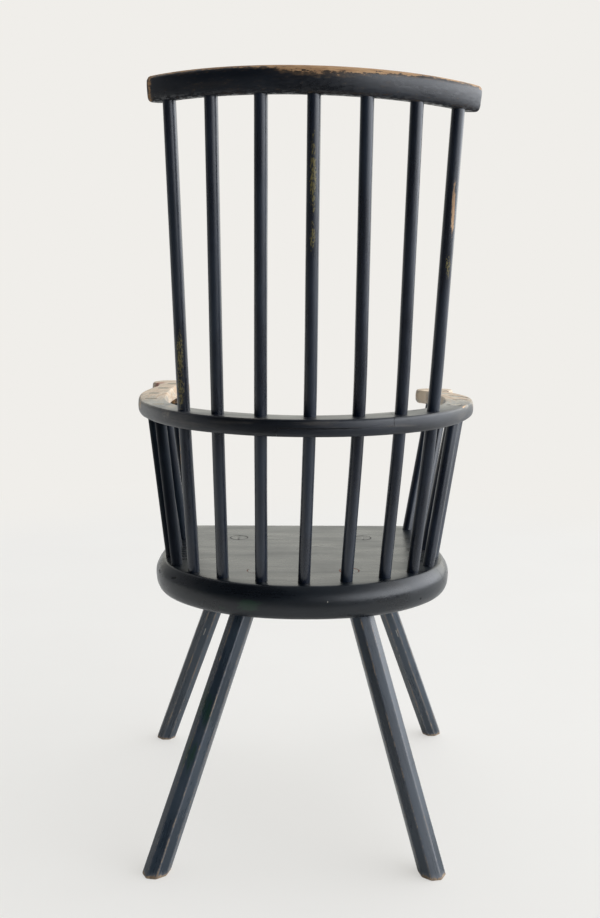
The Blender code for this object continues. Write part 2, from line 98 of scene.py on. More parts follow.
def joined_copy(node):
    """The mesh of a CAD piece as a bmesh whose triangles share their corners."""
    source = frame["nodes"][node].data
    mesh = bmesh.new()
    corners = [mesh.verts.new(vertex.co) for vertex in source.vertices]
    for face in source.polygons:
        mesh.faces.new([corners[i] for i in face.vertices])
    bmesh.ops.remove_doubles(mesh, verts=mesh.verts, dist=JOIN_WITHIN)
    return mesh


def as_object(name, mesh):
    """Puts a bmesh into the scene as an object."""
    data = bpy.data.meshes.new(name)
    mesh.to_mesh(data)
    mesh.free()
    piece = bpy.data.objects.new(name, data)
    bpy.context.scene.collection.objects.link(piece)
    return piece


def apply_modifiers(piece):
    """Replaces the piece's mesh by what its modifiers make of it."""
    shown = piece.evaluated_get(bpy.context.evaluated_depsgraph_get())
    made = bpy.data.meshes.new_from_object(shown)
    old = piece.data
    piece.modifiers.clear()
    piece.data = made
    bpy.data.meshes.remove(old)


sample = joined_copy("seat")
loose = len(frame["nodes"]["seat"].data.vertices)
print("the seat's", loose, "loose corners join into", len(sample.verts))
sample.free()

# %% [markdown]
# ## Softening
# Hand-planed wood has no mathematically sharp edge. A bevel would give every edge the same neat
# radius. Voxel remeshing followed by smoothing rounds each edge a little differently, and leaves an
# even net of small faces, which can also carry the wear. So the large pieces are made that way.

# %% Soften a closed shape
def softened(piece, voxel, rounds):
    """Remeshes the piece with cubes of the voxel size and smooths it some rounds."""
    net = piece.modifiers.new("net", "REMESH")
    net.mode = "VOXEL"
    net.voxel_size = voxel
    soft = piece.modifiers.new("soft", "SMOOTH")
    soft.factor = 0.5
    soft.iterations = rounds
    apply_modifiers(piece)
    print(piece.name, "has", len(piece.data.polygons), "faces")


# %% [markdown]
# ## Where the paint has worn
# Paint goes first where hands, clothes and shoes rub: on edges that stand out, and at a few
# favourite places. A pattern that knows nothing of the shape would look like camouflage, so the
# wear is worked out on each piece's own net and stored at its corners. The net is read into arrays
# first, because numbers for a hundred thousand points are quick there and slow one by one.

# %% Read a net into arrays
def values_of(things, key, width=1, kind=np.float32):
    """One value, or a row of them, for each point, edge, corner or face."""
    values = np.empty(len(things) * width, dtype=kind)
    things.foreach_get(key, values)
    return values.reshape(-1, width) if width > 1 else values


def net_points(piece):
    """Where the piece's points are, one row each."""
    return values_of(piece.data.vertices, "co", 3).astype(np.float64)


def net_normals(piece):
    """Which way the piece's points face, one row each."""
    return values_of(piece.data.vertices, "normal", 3)


def net_ends(piece):
    """The points at the two ends of every edge, as two arrays."""
    return values_of(piece.data.edges, "vertices", 2, np.int32).T


def neighbour_sums(ends, values, weights=1.0):
    """For each point, the sum of the rows of all points that share an edge with it."""
    first, second = ends
    total = np.empty_like(values)
    for axis in range(3):
        total[:, axis] = np.bincount(first, weights * values[second, axis], len(values))
        total[:, axis] += np.bincount(second, weights * values[first, axis], len(values))
    return total


# %% [markdown]
# To find the edges, the net is smoothed in numbers only. Where a point lies above the place that
# its smoothed neighbours give it, an edge stands out.

# %% Measure how far each point stands out
def stand_out(piece, rounds, full):
    """0 on flats and in hollows, 1 where an edge stands out by the full height or more."""
    points, ends = net_points(piece), net_ends(piece)
    shares = np.maximum(np.bincount(ends.ravel(), minlength=len(points)), 1)[:, None]
    smooth = points
    for _ in range(rounds):
        smooth = neighbour_sums(ends, smooth) / shares
    height = ((points - smooth) * net_normals(piece)).sum(axis=1)
    return np.clip(height / full, 0, 1)


# %% [markdown]
# The favourite places are soft spots, each with a middle, a reach along each axis and a strength. A
# spot fades out evenly, and the material later breaks its border up along the grain.

# %% Store values at the corners of a piece
RUB_FELT = 0.1


def spots_on(piece, spots):
    """How strongly the strongest of some spots is felt at each point."""
    points = net_points(piece)
    strongest = np.zeros(len(points))
    for middle, reach, strength in spots:
        away = (((points - np.array(middle)) / np.array(reach)) ** 2).sum(axis=1)
        strongest = np.maximum(strongest, strength * np.exp(-away))
    return strongest


def store(piece, name, values):
    """Keeps one number or one vector for each point of the piece under a name."""
    kind, key = ("FLOAT_VECTOR", "vector") if values.ndim == 2 else ("FLOAT", "value")
    kept = piece.data.attributes.get(name) or piece.data.attributes.new(name, kind, "POINT")
    kept.data.foreach_set(key, values.astype(np.float32).ravel())


def stored_numbers(piece, name):
    """The numbers kept under a name."""
    return values_of(piece.data.attributes[name].data, "value")


def tell_wear(title, pieces):
    """Prints how much of some pieces is felt to be rubbed."""
    rubbed = np.concatenate([stored_numbers(piece, "rubbed") for piece in pieces])
    share = 100 * float((rubbed > RUB_FELT).mean())
    print(title, "rubbed on", round(share, 2), "% of the points")


# %% [markdown]
# ## Crowned faces
# A rail shaped with a spokeshave is never flat: its faces swell a little in the middle, and that is
# what draws a highlight along them. A subdivided profile could be swept round instead, but the net
# already has the measured outline. So each point is moved in, square to the rail, by a share that
# grows towards the upper and the lower edge, which are found slice by slice round the curve.

# %% Swell the faces of a curved rail
def crowned(piece, centre, slices, depth, low_depth):
    """Draws a rail's sides in by one depth at its upper edge and another at its lower one."""
    points = net_points(piece)
    away = points[:, :2] - np.array(centre)
    turn = (np.arctan2(away[:, 0], away[:, 1]) / (2 * math.pi) + 0.5) * slices
    place = np.clip(turn.astype(int), 0, slices - 1)
    low, high = np.full(slices, np.inf), np.full(slices, -np.inf)
    np.minimum.at(low, place, points[:, 2])
    np.maximum.at(high, place, points[:, 2])
    share = (2 * points[:, 2] - low[place] - high[place]) / (high - low)[place]
    inward = np.where(share > 0, depth, low_depth) * share**2
    points[:, :2] -= net_normals(piece)[:, :2] * inward[:, None]
    piece.data.vertices.foreach_set("co", points.astype(np.float32).ravel())
    piece.data.update()


# %% [markdown]
# ## Even shading
# The measured frame draws its curves as short straight runs, and a glossy paint would show every
# one of them as a stripe. More smoothing of the shape would also melt the edges. So only the
# normals are smoothed: each is averaged with those of its neighbours that point nearly the same
# way. They are stored before any hole is cut, so that no hole disturbs them.

# %% Average the normals of like neighbours
LIKE_ENOUGH = 0.008


def even_normals(piece, rounds):
    """Stores smoothed normals, which still turn sharply at true edges."""
    normals, ends = net_normals(piece).astype(np.float64), net_ends(piece)
    first, second = ends
    like = np.exp(-(1 - (normals[first] * normals[second]).sum(axis=1)) / LIKE_ENOUGH)
    for _ in range(rounds):
        total = normals + neighbour_sums(ends, normals, like)
        normals = total / np.linalg.norm(total, axis=1)[:, None]
    store(piece, "shade", normals)


# %% [markdown]
# Once the piece is cut and bored, the stored normals are put in use. A corner whose face points
# another way, such as the wall of a hole, keeps the flat normal of that face.

# %% Put the stored normals in use
EDGE_LIMIT = math.cos(math.radians(38))


def use_even_normals(piece):
    """Sets the stored normals, and flat ones where a face meets another at a true corner."""
    mesh = piece.data
    stored = values_of(mesh.attributes["shade"].data, "vector", 3)
    stored = stored / np.maximum(np.linalg.norm(stored, axis=1), 1e-6)[:, None]
    sides = values_of(mesh.polygons, "loop_total", 1, np.int32)
    flat = np.repeat(values_of(mesh.polygons, "normal", 3), sides, axis=0)
    smooth = stored[values_of(mesh.loops, "vertex_index", 1, np.int32)]
    corner = (smooth * flat).sum(axis=1) < EDGE_LIMIT
    smooth[corner] = flat[corner]
    mesh.normals_split_custom_set([tuple(normal) for normal in smooth])
    mesh.attributes.remove(mesh.attributes["shade"])


# %% [markdown]
# ## Cutting
# Holes, kerfs and the lap are cut with a Boolean, which takes one closed shape out of another. The
# manifold solver is exact and quick on closed nets like these. The cutter goes once it is used.

# %% Cut one shape out of another
def cut_out(piece, cutter, operation="DIFFERENCE"):
    """Cuts the cutter out of the piece, or keeps only what they share, and removes the cutter."""
    hole = piece.modifiers.new("hole", "BOOLEAN")
    hole.operation = operation
    hole.solver = "MANIFOLD"
    hole.object = cutter
    apply_modifiers(piece)
    bpy.data.objects.remove(cutter, do_unlink=True)


# %% [markdown]
# ## Following a stick
# A stick is a shaved rod, bent a little where it passes the arm. To redraw it with many sides, its
# middle line is read from the CAD piece: the piece is sliced level by level, and the middle and
# half width of each slice give the rod's course. A curve with a bevel would give a perfect pipe.
# Rings built one by one can be made a little uneven, as a drawknife leaves them.

# %% Read the course of a stick
SLICE_STEP = 0.009
SLICE_MARGIN = 0.0006
FEWEST_SLICES = 8
FEWEST_CROSSINGS = 6


def slice_at(mesh, height):
    """The middle and half width of a bmesh at a height, or None where nothing is cut."""
    points = []
    for edge in mesh.edges:
        low, high = sorted((end.co for end in edge.verts), key=lambda point: point.z)
        if low.z <= height < high.z:
            points.append(low.lerp(high, (height - low.z) / (high.z - low.z)))
    if len(points) < FEWEST_CROSSINGS:
        return None
    xs = [point.x for point in points]
    ys = [point.y for point in points]
    middle = Vector(((min(xs) + max(xs)) / 2, (min(ys) + max(ys)) / 2, height))
    return middle, min(max(xs) - min(xs), max(ys) - min(ys)) / 2


def course_of(node):
    """Points up the middle of a stick, from end to end, each with the stick's radius there."""
    mesh = joined_copy(node)
    heights = [vertex.co.z for vertex in mesh.verts]
    low, high = min(heights), max(heights)
    steps = max(FEWEST_SLICES, round((high - low) / SLICE_STEP))
    course = []
    for step in range(steps + 1):
        height = low + SLICE_MARGIN + (high - low - 2 * SLICE_MARGIN) * step / steps
        found = slice_at(mesh, height)
        if found:
            course.append(found)
    mesh.free()
    return course


# %% [markdown]
# The slices at the two very ends cut through the slanted end faces, so their middles lie off the
# line. They are replaced by points carried on from the clean slices beside them.

# %% Carry the clean course on to both ends
END_SKIP = 0.006


def tidy_course(course):
    """The course with both ends carried straight on from the clean slices."""
    low, high = course[0][0].z, course[-1][0].z
    clean = [slice_ for slice_ in course if low + END_SKIP < slice_[0].z < high - END_SKIP]

    def carried(first, second, height):
        run = (second[0] - first[0]) / (second[0].z - first[0].z)
        return first[0] + run * (height - first[0].z), first[1]

    return [carried(clean[0], clean[1], low)] + clean + [carried(clean[-1], clean[-2], high)]


# %% [markdown]
# A ring is laid round every point of the course, square to it, and neighbouring rings are joined.
# The unevenness is a quarter of a millimetre at most, and only inwards, so that the stick still
# fits its holes.

# %% Build a rod from its course
ROD_SIDES = 28
DENTS_ROUND, DENTS_ALONG = 1.1, 9
UP = Vector((0, 0, 1))


def rod(course, extra=0.0, uneven=0.0, seed=0.0):
    """A closed rod of rings along a course, extra thicker, shaved unevenly inwards."""
    mesh = bmesh.new()
    points = [point for point, _ in course]
    rings = []
    for index, (point, radius) in enumerate(course):
        ahead = points[min(index + 1, len(points) - 1)] - points[max(index - 1, 0)]
        turn = UP.rotation_difference(ahead.normalized())
        ring = []
        for side in range(ROD_SIDES):
            angle = 2 * math.pi * side / ROD_SIDES
            spoke = Vector((math.cos(angle), math.sin(angle), 0))
            place = spoke * DENTS_ROUND + UP * (point.z * DENTS_ALONG + seed)
            shaved = uneven * (0.5 + 0.5 * noise.noise(place))
            ring.append(mesh.verts.new(point + turn @ (spoke * (radius + extra - shaved))))
        rings.append(ring)
    for below, above in zip(rings, rings[1:]):
        for side in range(ROD_SIDES):
            after = (side + 1) % ROD_SIDES
            mesh.faces.new((below[side], below[after], above[after], above[side]))
    mesh.faces.new(list(reversed(rings[0])))
    mesh.faces.new(rings[-1])
    return mesh


# %% [markdown]
# Seven long sticks carry the comb, and five short ones stand under each arm. All are read in the
# same way, so that later cells need only a stick's name to know its course.

# %% Read all seventeen sticks
SIDES = ("left", "right")
LONG_STICKS = [f"back_stick_{side}_{n}" for side in SIDES for n in (1, 2, 3)]
LONG_STICKS.insert(0, "back_stick_centre")
SHORT_STICKS = [f"short_stick_{side}_{n}" for side in SIDES for n in (1, 2, 3, 4, 5)]
STICKS = LONG_STICKS + SHORT_STICKS
courses = {node: tidy_course(course_of(node)) for node in STICKS}
for node in ("back_stick_centre", "short_stick_left_1"):
    radius = round(courses[node][3][1] * 1000, 2)
    print(node, "follows", len(courses[node]), "points, radius", radius, "mm")

# %% [markdown]
# ## Holes for the sticks
# In the chair each stick sits in a bored hole. The CAD holes have flat facets, so they are closed
# on the copy first, and clean round ones are bored again once the surface is soft. A face of a hole
# is told by its corners, which all lie within a hair of the same stick.

# %% Close the CAD holes of a piece
HOLE_REACH = 0.0008


def close_holes(mesh, nodes):
    """Takes away the hole walls beside these sticks and fills the openings."""
    doomed = set()
    for node in nodes:
        stick = joined_copy(node)
        near = BVHTree.FromBMesh(stick)
        inside = {v for v in mesh.verts if near.find_nearest(v.co, HOLE_REACH)[0] is not None}
        doomed |= {face for face in mesh.faces if all(v in inside for v in face.verts)}
        stick.free()
    bmesh.ops.delete(mesh, geom=list(doomed), context="FACES")
    open_edges = [edge for edge in mesh.edges if edge.is_boundary]
    bmesh.ops.holes_fill(mesh, edges=open_edges, sides=0)
    bmesh.ops.recalc_face_normals(mesh, faces=mesh.faces)


# %% [markdown]
# A drill is a rod along the same course as its stick, a hair thicker. All drills of a piece are
# joined and cut out together, which takes one Boolean instead of one for each hole.

# %% Bore round holes along the sticks
BORE_CLEAR = 0.00018
BORE_RUN = 0.03


def add_to(whole, part):
    """Adds one bmesh to another and frees it."""
    data = bpy.data.meshes.new("part")
    part.to_mesh(data)
    part.free()
    whole.from_mesh(data)
    bpy.data.meshes.remove(data)


def carried_on(course, length):
    """The course with one more point, straight on past its top."""
    run = (course[-1][0] - course[-3][0]).normalized()
    return course + [(course[-1][0] + run * length, course[-1][1])]


def bore(piece, nodes, open_end):
    """Bores holes for these sticks. With open_end, holes of short sticks run on past their tops."""
    drill = bmesh.new()
    for node in nodes:
        course = courses[node]
        if open_end and node in SHORT_STICKS:
            course = carried_on(course, BORE_RUN)
        add_to(drill, rod(course, extra=BORE_CLEAR))
    cut_out(piece, as_object("drill", drill))


# %% [markdown]
# ## The seat board
# One thick board, D-shaped, flat on top, with a crisp top edge and a side that swells and then
# draws in to the underside. The copy's convex hull closes all its sockets in one step, because the
# board has no hollow in its outline. Then it is softened, and its sockets are bored again.

# %% Seat
SEAT_VOXEL = 0.0023
SEAT_ROUNDS = 2
SEAT_EDGE_ROUNDS = 5
SEAT_EDGE_FULL = 0.0007
SEAT_SHADE_ROUNDS = 60


def wrap_in_hull(mesh):
    """Turns a bmesh into the tightest closed shape without hollows that holds all its points."""
    bmesh.ops.convex_hull(mesh, input=mesh.verts)
    bmesh.ops.delete(mesh, geom=[v for v in mesh.verts if not v.link_faces], context="VERTS")


seat_hull = joined_copy("seat")
wrap_in_hull(seat_hull)
seat = as_object("seat_board", seat_hull)
softened(seat, SEAT_VOXEL, SEAT_ROUNDS)
store(seat, "worn", stand_out(seat, SEAT_EDGE_ROUNDS, SEAT_EDGE_FULL))
even_normals(seat, SEAT_SHADE_ROUNDS)
print("seat board:", [round(size, 3) for size in seat.dimensions], "m")

# %% [markdown]
# The legs come through the seat. Each leg's line runs from the middle of its sole to the middle of
# its tenon's top, and a straight drill along that line opens its socket.

# %% Find the leg lines and bore the seat
LEGS = [f"leg_{end}_{side}" for end in ("front", "rear") for side in SIDES]
TENON_RADIUS = 0.014
SOLE_SLICE = 0.0005
SOCKET_BELOW, SOCKET_ABOVE = 0.08, 0.02


def leg_line(node):
    """The middle of a leg's sole and the middle of its tenon's top."""
    points = [vertex.co for vertex in frame["nodes"][node].data.vertices]
    top = max(point.z for point in points)
    sole = [point for point in points if point.z < SOLE_SLICE]
    end = [point for point in points if point.z > top - SOLE_SLICE]

    def middle(group):
        return Vector([(min(axis) + max(axis)) / 2 for axis in zip(*group)])

    return middle(sole), middle(end)


leg_lines = {node: leg_line(node) for node in LEGS}
bore(seat, STICKS, open_end=False)
for node in LEGS:
    foot, top = leg_lines[node]
    run = (top - foot).normalized()
    socket = [(top - run * SOCKET_BELOW, TENON_RADIUS), (top + run * SOCKET_ABOVE, TENON_RADIUS)]
    cut_out(seat, as_object("drill", rod(socket, extra=BORE_CLEAR)))
print("seat board:", len(seat.data.polygons), "faces with 17 mortises and 4 sockets")

# %% [markdown]
# ## The arm bow
# A flat bow in two halves that overlap behind the sitter in a half-lap. Each half ends in a hooked
# hand-hold. On the real chair the joint was planed flush and painted over, so it shows only as a
# hairline. Softening each half alone would round the joint into a groove. So the bow is made as
# one and softened, and only then parted with a thin saw that follows the step of the lap.

# %% Arm bow in one piece
ARM_VOXEL = 0.0019
ARM_ROUNDS = 3
ARM_EDGE_ROUNDS = 6
ARM_EDGE_FULL = 0.0006
ARM_CROWN_SLICES = 200
ARM_CROWN = 0.0014
ARM_SHADE_ROUNDS = 60
BOW_CENTRE = (-0.002, -0.02)

bow_mesh = bmesh.new()
for side in SIDES:
    half = joined_copy("arm_" + side)
    close_holes(half, STICKS)
    add_to(bow_mesh, half)
bow = as_object("arm_bow", bow_mesh)
softened(bow, ARM_VOXEL, ARM_ROUNDS)
store(bow, "worn", stand_out(bow, ARM_EDGE_ROUNDS, ARM_EDGE_FULL))
crowned(bow, BOW_CENTRE, ARM_CROWN_SLICES, ARM_CROWN, ARM_CROWN)
even_normals(bow, ARM_SHADE_ROUNDS)
print("arm bow:", [round(size, 3) for size in bow.dimensions], "m")

# %% [markdown]
# The saw is a block with one step, which fills the space of the bow's right half. The left half is
# what is left when the block is taken away, and the right half is what lies inside it. The block is
# a hair larger for the one and a hair smaller for the other, and that leaves the hairline.

# %% Part the bow at the lap
LAP_ENDS_X = (-0.1295, 0.0405)
LAP_LEVEL_Z = 0.677
SAW_HALF = 0.00016
FAR = 0.6
FLOOR_OF_SAW, TOP_OF_SAW = 0.5, 0.9


def lap_saw(allowance):
    """The block with a step, grown by an allowance."""
    high_x, low_x = (end + allowance for end in LAP_ENDS_X)
    level = LAP_LEVEL_Z + allowance
    outline = [(-FAR, FLOOR_OF_SAW), (low_x, FLOOR_OF_SAW), (low_x, level)]
    outline += [(high_x, level), (high_x, TOP_OF_SAW), (-FAR, TOP_OF_SAW)]
    mesh = bmesh.new()
    face = mesh.faces.new([mesh.verts.new((x, -FAR, z)) for x, z in outline])
    swept = bmesh.ops.extrude_face_region(mesh, geom=[face])["geom"]
    swept = [part for part in swept if isinstance(part, bmesh.types.BMVert)]
    bmesh.ops.translate(mesh, verts=swept, vec=(0, 2 * FAR, 0))
    bmesh.ops.recalc_face_normals(mesh, faces=mesh.faces)
    return as_object("saw", mesh)


def passes(stick, low, high):
    """True if the stick's course crosses this box."""
    return any(all(low[i] <= point[i] <= high[i] for i in range(3)) for point, _ in courses[stick])


def arm_half(side):
    """One half of the bow, parted at the lap and bored for its sticks."""
    piece = bpy.data.objects.new("arm_bow_" + side, bow.data.copy())
    bpy.context.scene.collection.objects.link(piece)
    if side == "left":
        cut_out(piece, lap_saw(SAW_HALF))
    else:
        cut_out(piece, lap_saw(-SAW_HALF), "INTERSECT")
    low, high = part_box("arm_" + side)
    through = [stick for stick in STICKS if passes(stick, low, high)]
    bore(piece, through, open_end=True)
    print(piece.name, "is bored for", len(through), "sticks")
    return piece


arm_left, arm_right = arm_half("left"), arm_half("right")
bpy.data.objects.remove(bow, do_unlink=True)

# %% [markdown]
# ## The comb
# A curved rail, rounded in section, that holds the upper ends of the seven long sticks. Its net is
# finer than the seat's, because its worn top edge is a thin line. The faces are crowned most
# towards the top, where the maker's spokeshave took off the most.

# %% Comb
COMB_VOXEL = 0.0015
COMB_ROUNDS = 1
COMB_EDGE_ROUNDS = 6
COMB_EDGE_FULL = 0.0005
COMB_CENTRE = (-0.0115, -0.069)
COMB_CROWN_SLICES = 400
COMB_CROWN = 0.0024
COMB_LOW_CROWN = 0.0006
COMB_SHADE_ROUNDS = 40

comb_mesh = joined_copy("comb")
close_holes(comb_mesh, LONG_STICKS)
comb = as_object("comb_rail", comb_mesh)
softened(comb, COMB_VOXEL, COMB_ROUNDS)
store(comb, "worn", stand_out(comb, COMB_EDGE_ROUNDS, COMB_EDGE_FULL))
crowned(comb, COMB_CENTRE, COMB_CROWN_SLICES, COMB_CROWN, COMB_LOW_CROWN)
even_normals(comb, COMB_SHADE_ROUNDS)
bore(comb, LONG_STICKS, open_end=False)
print("comb:", len(comb.data.polygons), "faces with", len(LONG_STICKS), "mortises")

# %% [markdown]
# ## The legs
# Eight flats planed on a splayed leg, with a round tenon on top that is split and wedged in the
# seat. The eight-sided part is the hull of the CAD leg's outer corners, which leaves the thinner
# tenon out. The tenon is a short rod of its own inside the same piece.

# %% Shape the two parts of a leg
OUTSIDE_TENON = 0.0152


def octagon_of(node):
    """The eight-sided part of a leg as a hull."""
    mesh = joined_copy(node)
    foot, top = leg_lines[node]
    run = (top - foot).normalized()

    def off_middle(point):
        return ((point - foot) - run * (point - foot).dot(run)).length

    inner = [v for v in mesh.verts if off_middle(v.co) < OUTSIDE_TENON]
    bmesh.ops.delete(mesh, geom=inner, context="VERTS")
    wrap_in_hull(mesh)
    return mesh


def trimmed(mesh, place, up):
    """Cuts a bmesh off above a plane and closes it."""
    geometry = mesh.verts[:] + mesh.edges[:] + mesh.faces[:]
    bmesh.ops.bisect_plane(mesh, geom=geometry, plane_co=place, plane_no=up, clear_outer=True)
    bmesh.ops.holes_fill(mesh, edges=[edge for edge in mesh.edges if edge.is_boundary], sides=0)
    return mesh


# %% [markdown]
# A wedge is driven into a saw kerf. The kerf is cut with a copy of the wedge that is a hair thicker
# and reaches on past the end of the tenon.

# %% Wedge-shaped cutter for a kerf
KERF_CLEAR = 0.00006
KERF_RUN = 0.0003


def kerf_cutter(node):
    """The shape to cut out of a tenon for this wedge."""
    mesh = joined_copy(node)
    mesh.normal_update()
    middle = sum(v.co.z for v in mesh.verts) / len(mesh.verts)
    for vertex in mesh.verts:
        vertex.co += vertex.normal * KERF_CLEAR
        if vertex.co.z > middle:
            vertex.co.z += KERF_RUN
    return as_object("kerf", mesh)


# %% [markdown]
# The tenon is made a little too long and then sawn off level with the seat. Its end keeps a mark
# called cap, because end grain takes paint in its own way, and its normals all point up, so that
# the fine rim of the kerf doesn't glitter.

# %% Tenons
TENON_SINK = 0.012
TOO_LONG = 0.01
CAP_DEPTH = 0.001


def tenon_of(node, shoulder):
    """A split tenon from inside the leg to the seat's top."""
    foot, top = leg_lines[node]
    run = (top - foot).normalized()
    start = foot + run * ((shoulder - TENON_SINK - foot.z) / run.z)
    long_rod = rod([(start, TENON_RADIUS), (top + run * TOO_LONG, TENON_RADIUS)])
    tenon = as_object("tenon", trimmed(long_rod, top, UP))
    cut_out(tenon, kerf_cutter(node.replace("leg", "leg_wedge")))
    points = net_points(tenon)
    store(tenon, "worn", np.zeros(len(points)))
    store(tenon, "cap", (points[:, 2] > top.z - CAP_DEPTH).astype(float))
    store(tenon, "shade", np.tile(UP, (len(points), 1)))
    return tenon


# %% [markdown]
# Each leg is put together from its two parts, after the eight-sided one is softened. Planed arrises
# are crisp, so one round of smoothing is enough, and their wear is found on a finer scale.

# %% Legs
LEG_VOXEL = 0.0015
LEG_ROUNDS = 1
LEG_EDGE_ROUNDS = 5
LEG_EDGE_FULL = 0.00035
LEG_SHADE_ROUNDS = 12


def leg(node):
    """A softened leg with its split tenon."""
    body = as_object(node.replace("leg", "octagon_leg"), octagon_of(node))
    shoulder = max(v.co.z for v in body.data.vertices)
    softened(body, LEG_VOXEL, LEG_ROUNDS)
    store(body, "worn", stand_out(body, LEG_EDGE_ROUNDS, LEG_EDGE_FULL))
    store(body, "cap", np.zeros(len(body.data.vertices)))
    even_normals(body, LEG_SHADE_ROUNDS)
    tenon = tenon_of(node, shoulder)
    joined = bmesh.new()
    joined.from_mesh(body.data)
    joined.from_mesh(tenon.data)
    joined.to_mesh(body.data)
    joined.free()
    bpy.data.objects.remove(tenon, do_unlink=True)
    return body


legs = {node: leg(node) for node in LEGS}
print(len(legs), "legs of about", len(legs[LEGS[0]].data.polygons), "faces")

# %% [markdown]
# ## The sticks
# Long sticks run from the seat through the arm to the comb. Short ones end flush with the arm's top
# and are split there for a wedge.

# %% Sticks
STICK_UNEVEN = 0.00025
STICK_SEED = 7.3
END_FACES_UP = 0.8
END_DEPTH = 0.004


def end_plane(node):
    """The middle and the direction of a CAD piece's uppermost flat end."""
    mesh = joined_copy(node)
    mesh.normal_update()
    top = max(vertex.co.z for vertex in mesh.verts)
    ends = [face for face in mesh.faces if face.normal.z > END_FACES_UP]
    ends = [face for face in ends if face.calc_center_median().z > top - END_DEPTH]
    place = sum((face.calc_center_median() for face in ends), Vector()) / len(ends)
    up = sum((face.normal * face.calc_area() for face in ends), Vector()).normalized()
    mesh.free()
    return place, up


def stick(node, number):
    """A shaved stick. A short one is cut off flush with the arm and split for its wedge."""
    name = node.replace("back_stick", "long_spindle").replace("short_stick", "short_spindle")
    seed = number * STICK_SEED
    if node in LONG_STICKS:
        return as_object(name, rod(courses[node], uneven=STICK_UNEVEN, seed=seed))
    place, up = end_plane(node)
    long_rod = rod(carried_on(courses[node], TOO_LONG), uneven=STICK_UNEVEN, seed=seed)
    piece = as_object(name, trimmed(long_rod, place, up))
    cut_out(piece, kerf_cutter(node.replace("short_stick", "arm_wedge")))
    return piece


sticks = {node: stick(node, number) for number, node in enumerate(STICKS)}
print(len(sticks), "sticks of", ROD_SIDES, "sides")

# %% [markdown]
# ## The wedges
# Little tapered slips of wood. The arm's wedges have bevelled edges, which catch a fine line of
# light. Those of the legs are planed level with the seat, so their edges are only just broken.

# %% Wedges
ARM_WEDGE_EASE = 0.0002
LEG_WEDGE_EASE = 0.00003


def wedge(node):
    """A CAD wedge with eased edges."""
    mesh = joined_copy(node)
    flat = math.radians(1)
    bmesh.ops.dissolve_limit(mesh, angle_limit=flat, verts=mesh.verts, edges=mesh.edges)
    ease = ARM_WEDGE_EASE if node.startswith("arm") else LEG_WEDGE_EASE
    bmesh.ops.bevel(mesh, geom=mesh.edges[:], offset=ease, segments=2, affect="EDGES", profile=0.5)
    return as_object(node.replace("_wedge", "_slip"), mesh)


wedges = {node: wedge(node) for node in sorted(frame["nodes"]) if "wedge" in node}
print(len(legs), "legs,", len(sticks), "sticks,", len(wedges), "wedges")

# %% [markdown]
# ## Standing in for the frame
# Every new piece rides on the chair's one body and takes the place of its CAD piece. Its paint slot
# tells how it is shaded: sticks and wedges have true corners only at their ends and kerfs, so a
# limit on the angle is enough for them. The rest use the stored normals.

# %% Hand every piece over to the frame
SHARP_FROM = {"stick_paint": math.radians(48), "wedge_paint": math.radians(20)}


def stands_for(piece, node, slot):
    """The piece takes the place of a CAD node."""
    for face in piece.data.polygons:
        face.use_smooth = True
    if slot in SHARP_FROM:
        piece.data.set_sharp_from_angle(angle=SHARP_FROM[slot])
    else:
        use_even_normals(piece)
    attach(piece, "root")
    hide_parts(node)


stands_for(seat, "seat", "seat_paint")
stands_for(arm_left, "arm_left", "arm_paint")
stands_for(arm_right, "arm_right", "arm_paint")
stands_for(comb, "comb", "comb_paint")
for pieces, slot in ((legs, "leg_paint"), (sticks, "stick_paint"), (wedges, "wedge_paint")):
    for node, piece in pieces.items():
        stands_for(piece, node, slot)

# %% [markdown]
# ## Which way the grain runs
# Wood has a direction. Streaks, cracks and worn patches are long along it and narrow across it. So
# each point also keeps its place in its own plank: first along the grain, then across it twice. A
# bent or sawn-round piece gets the length along its curve, so the streaks follow it.

# %% Lay the grain along a straight line or round a curve
def grain_straight(piece, start, end, shift):
    """Grain from start to end. The shift keeps two like pieces from getting the same figure."""
    along = (Vector(end) - Vector(start)).normalized()
    across = along.orthogonal().normalized()
    axes = np.array([along, across, along.cross(across)])
    store(piece, "grain", (net_points(piece) - np.array(start)) @ axes.T + shift)


def grain_round(piece, centre, radius, shift):
    """Grain round an upright axis through centre, measured at a radius."""
    points = net_points(piece)
    away = points[:, :2] - np.array(centre)
    around = np.arctan2(away[:, 0], away[:, 1]) * radius
    out = np.hypot(away[:, 0], away[:, 1])
    store(piece, "grain", np.stack([around, out, points[:, 2]], axis=1) + shift)


# %% [markdown]
# ## Wear on the seat
# The seat's grain runs from side to side. Its top edge is only lightly rubbed, and most of that is
# at two places on the left. A green coat from an earlier life shows faintly low on the rear edge.

# %% Seat wear
seat_rubs = [
    ((0.205, 0.121, 0.419), (0.007, 0.006, 0.004), 0.4),
    ((0.236, 0.074, 0.413), (0.006, 0.008, 0.004), 0.4),
]
seat_green = [
    ((0.085, 0.203, 0.399), (0.028, 0.02, 0.014), 0.95),
    ((0.125, 0.18, 0.39), (0.02, 0.02, 0.01), 0.5),
]

store(seat, "rubbed", spots_on(seat, seat_rubs))
store(seat, "under", spots_on(seat, seat_green))
grain_straight(seat, (0, 0, 0.4), (1, 0.02, 0.4), 0.0)
tell_wear("seat:", [seat])

# %% [markdown]
# ## Wear on the arms
# Hands have taken the paint off the hand-holds and off the inner edges in front, most where the
# wood faces up. Behind the sitter the bow is still black, so its edges there keep only a fifth of
# their wear.

# %% Arm wear
BOW_RADIUS = 0.27
HOLD_LINE_Y = 0.02
HOLD_FADE = 0.2
HAND_RUB = 0.8
BLACK_LINE_Y = 0.09
BLACK_FADE = 0.1
BLACK_WEAR = 0.2
FACING_UP = 1.3
HOLD_RUB = 0.9


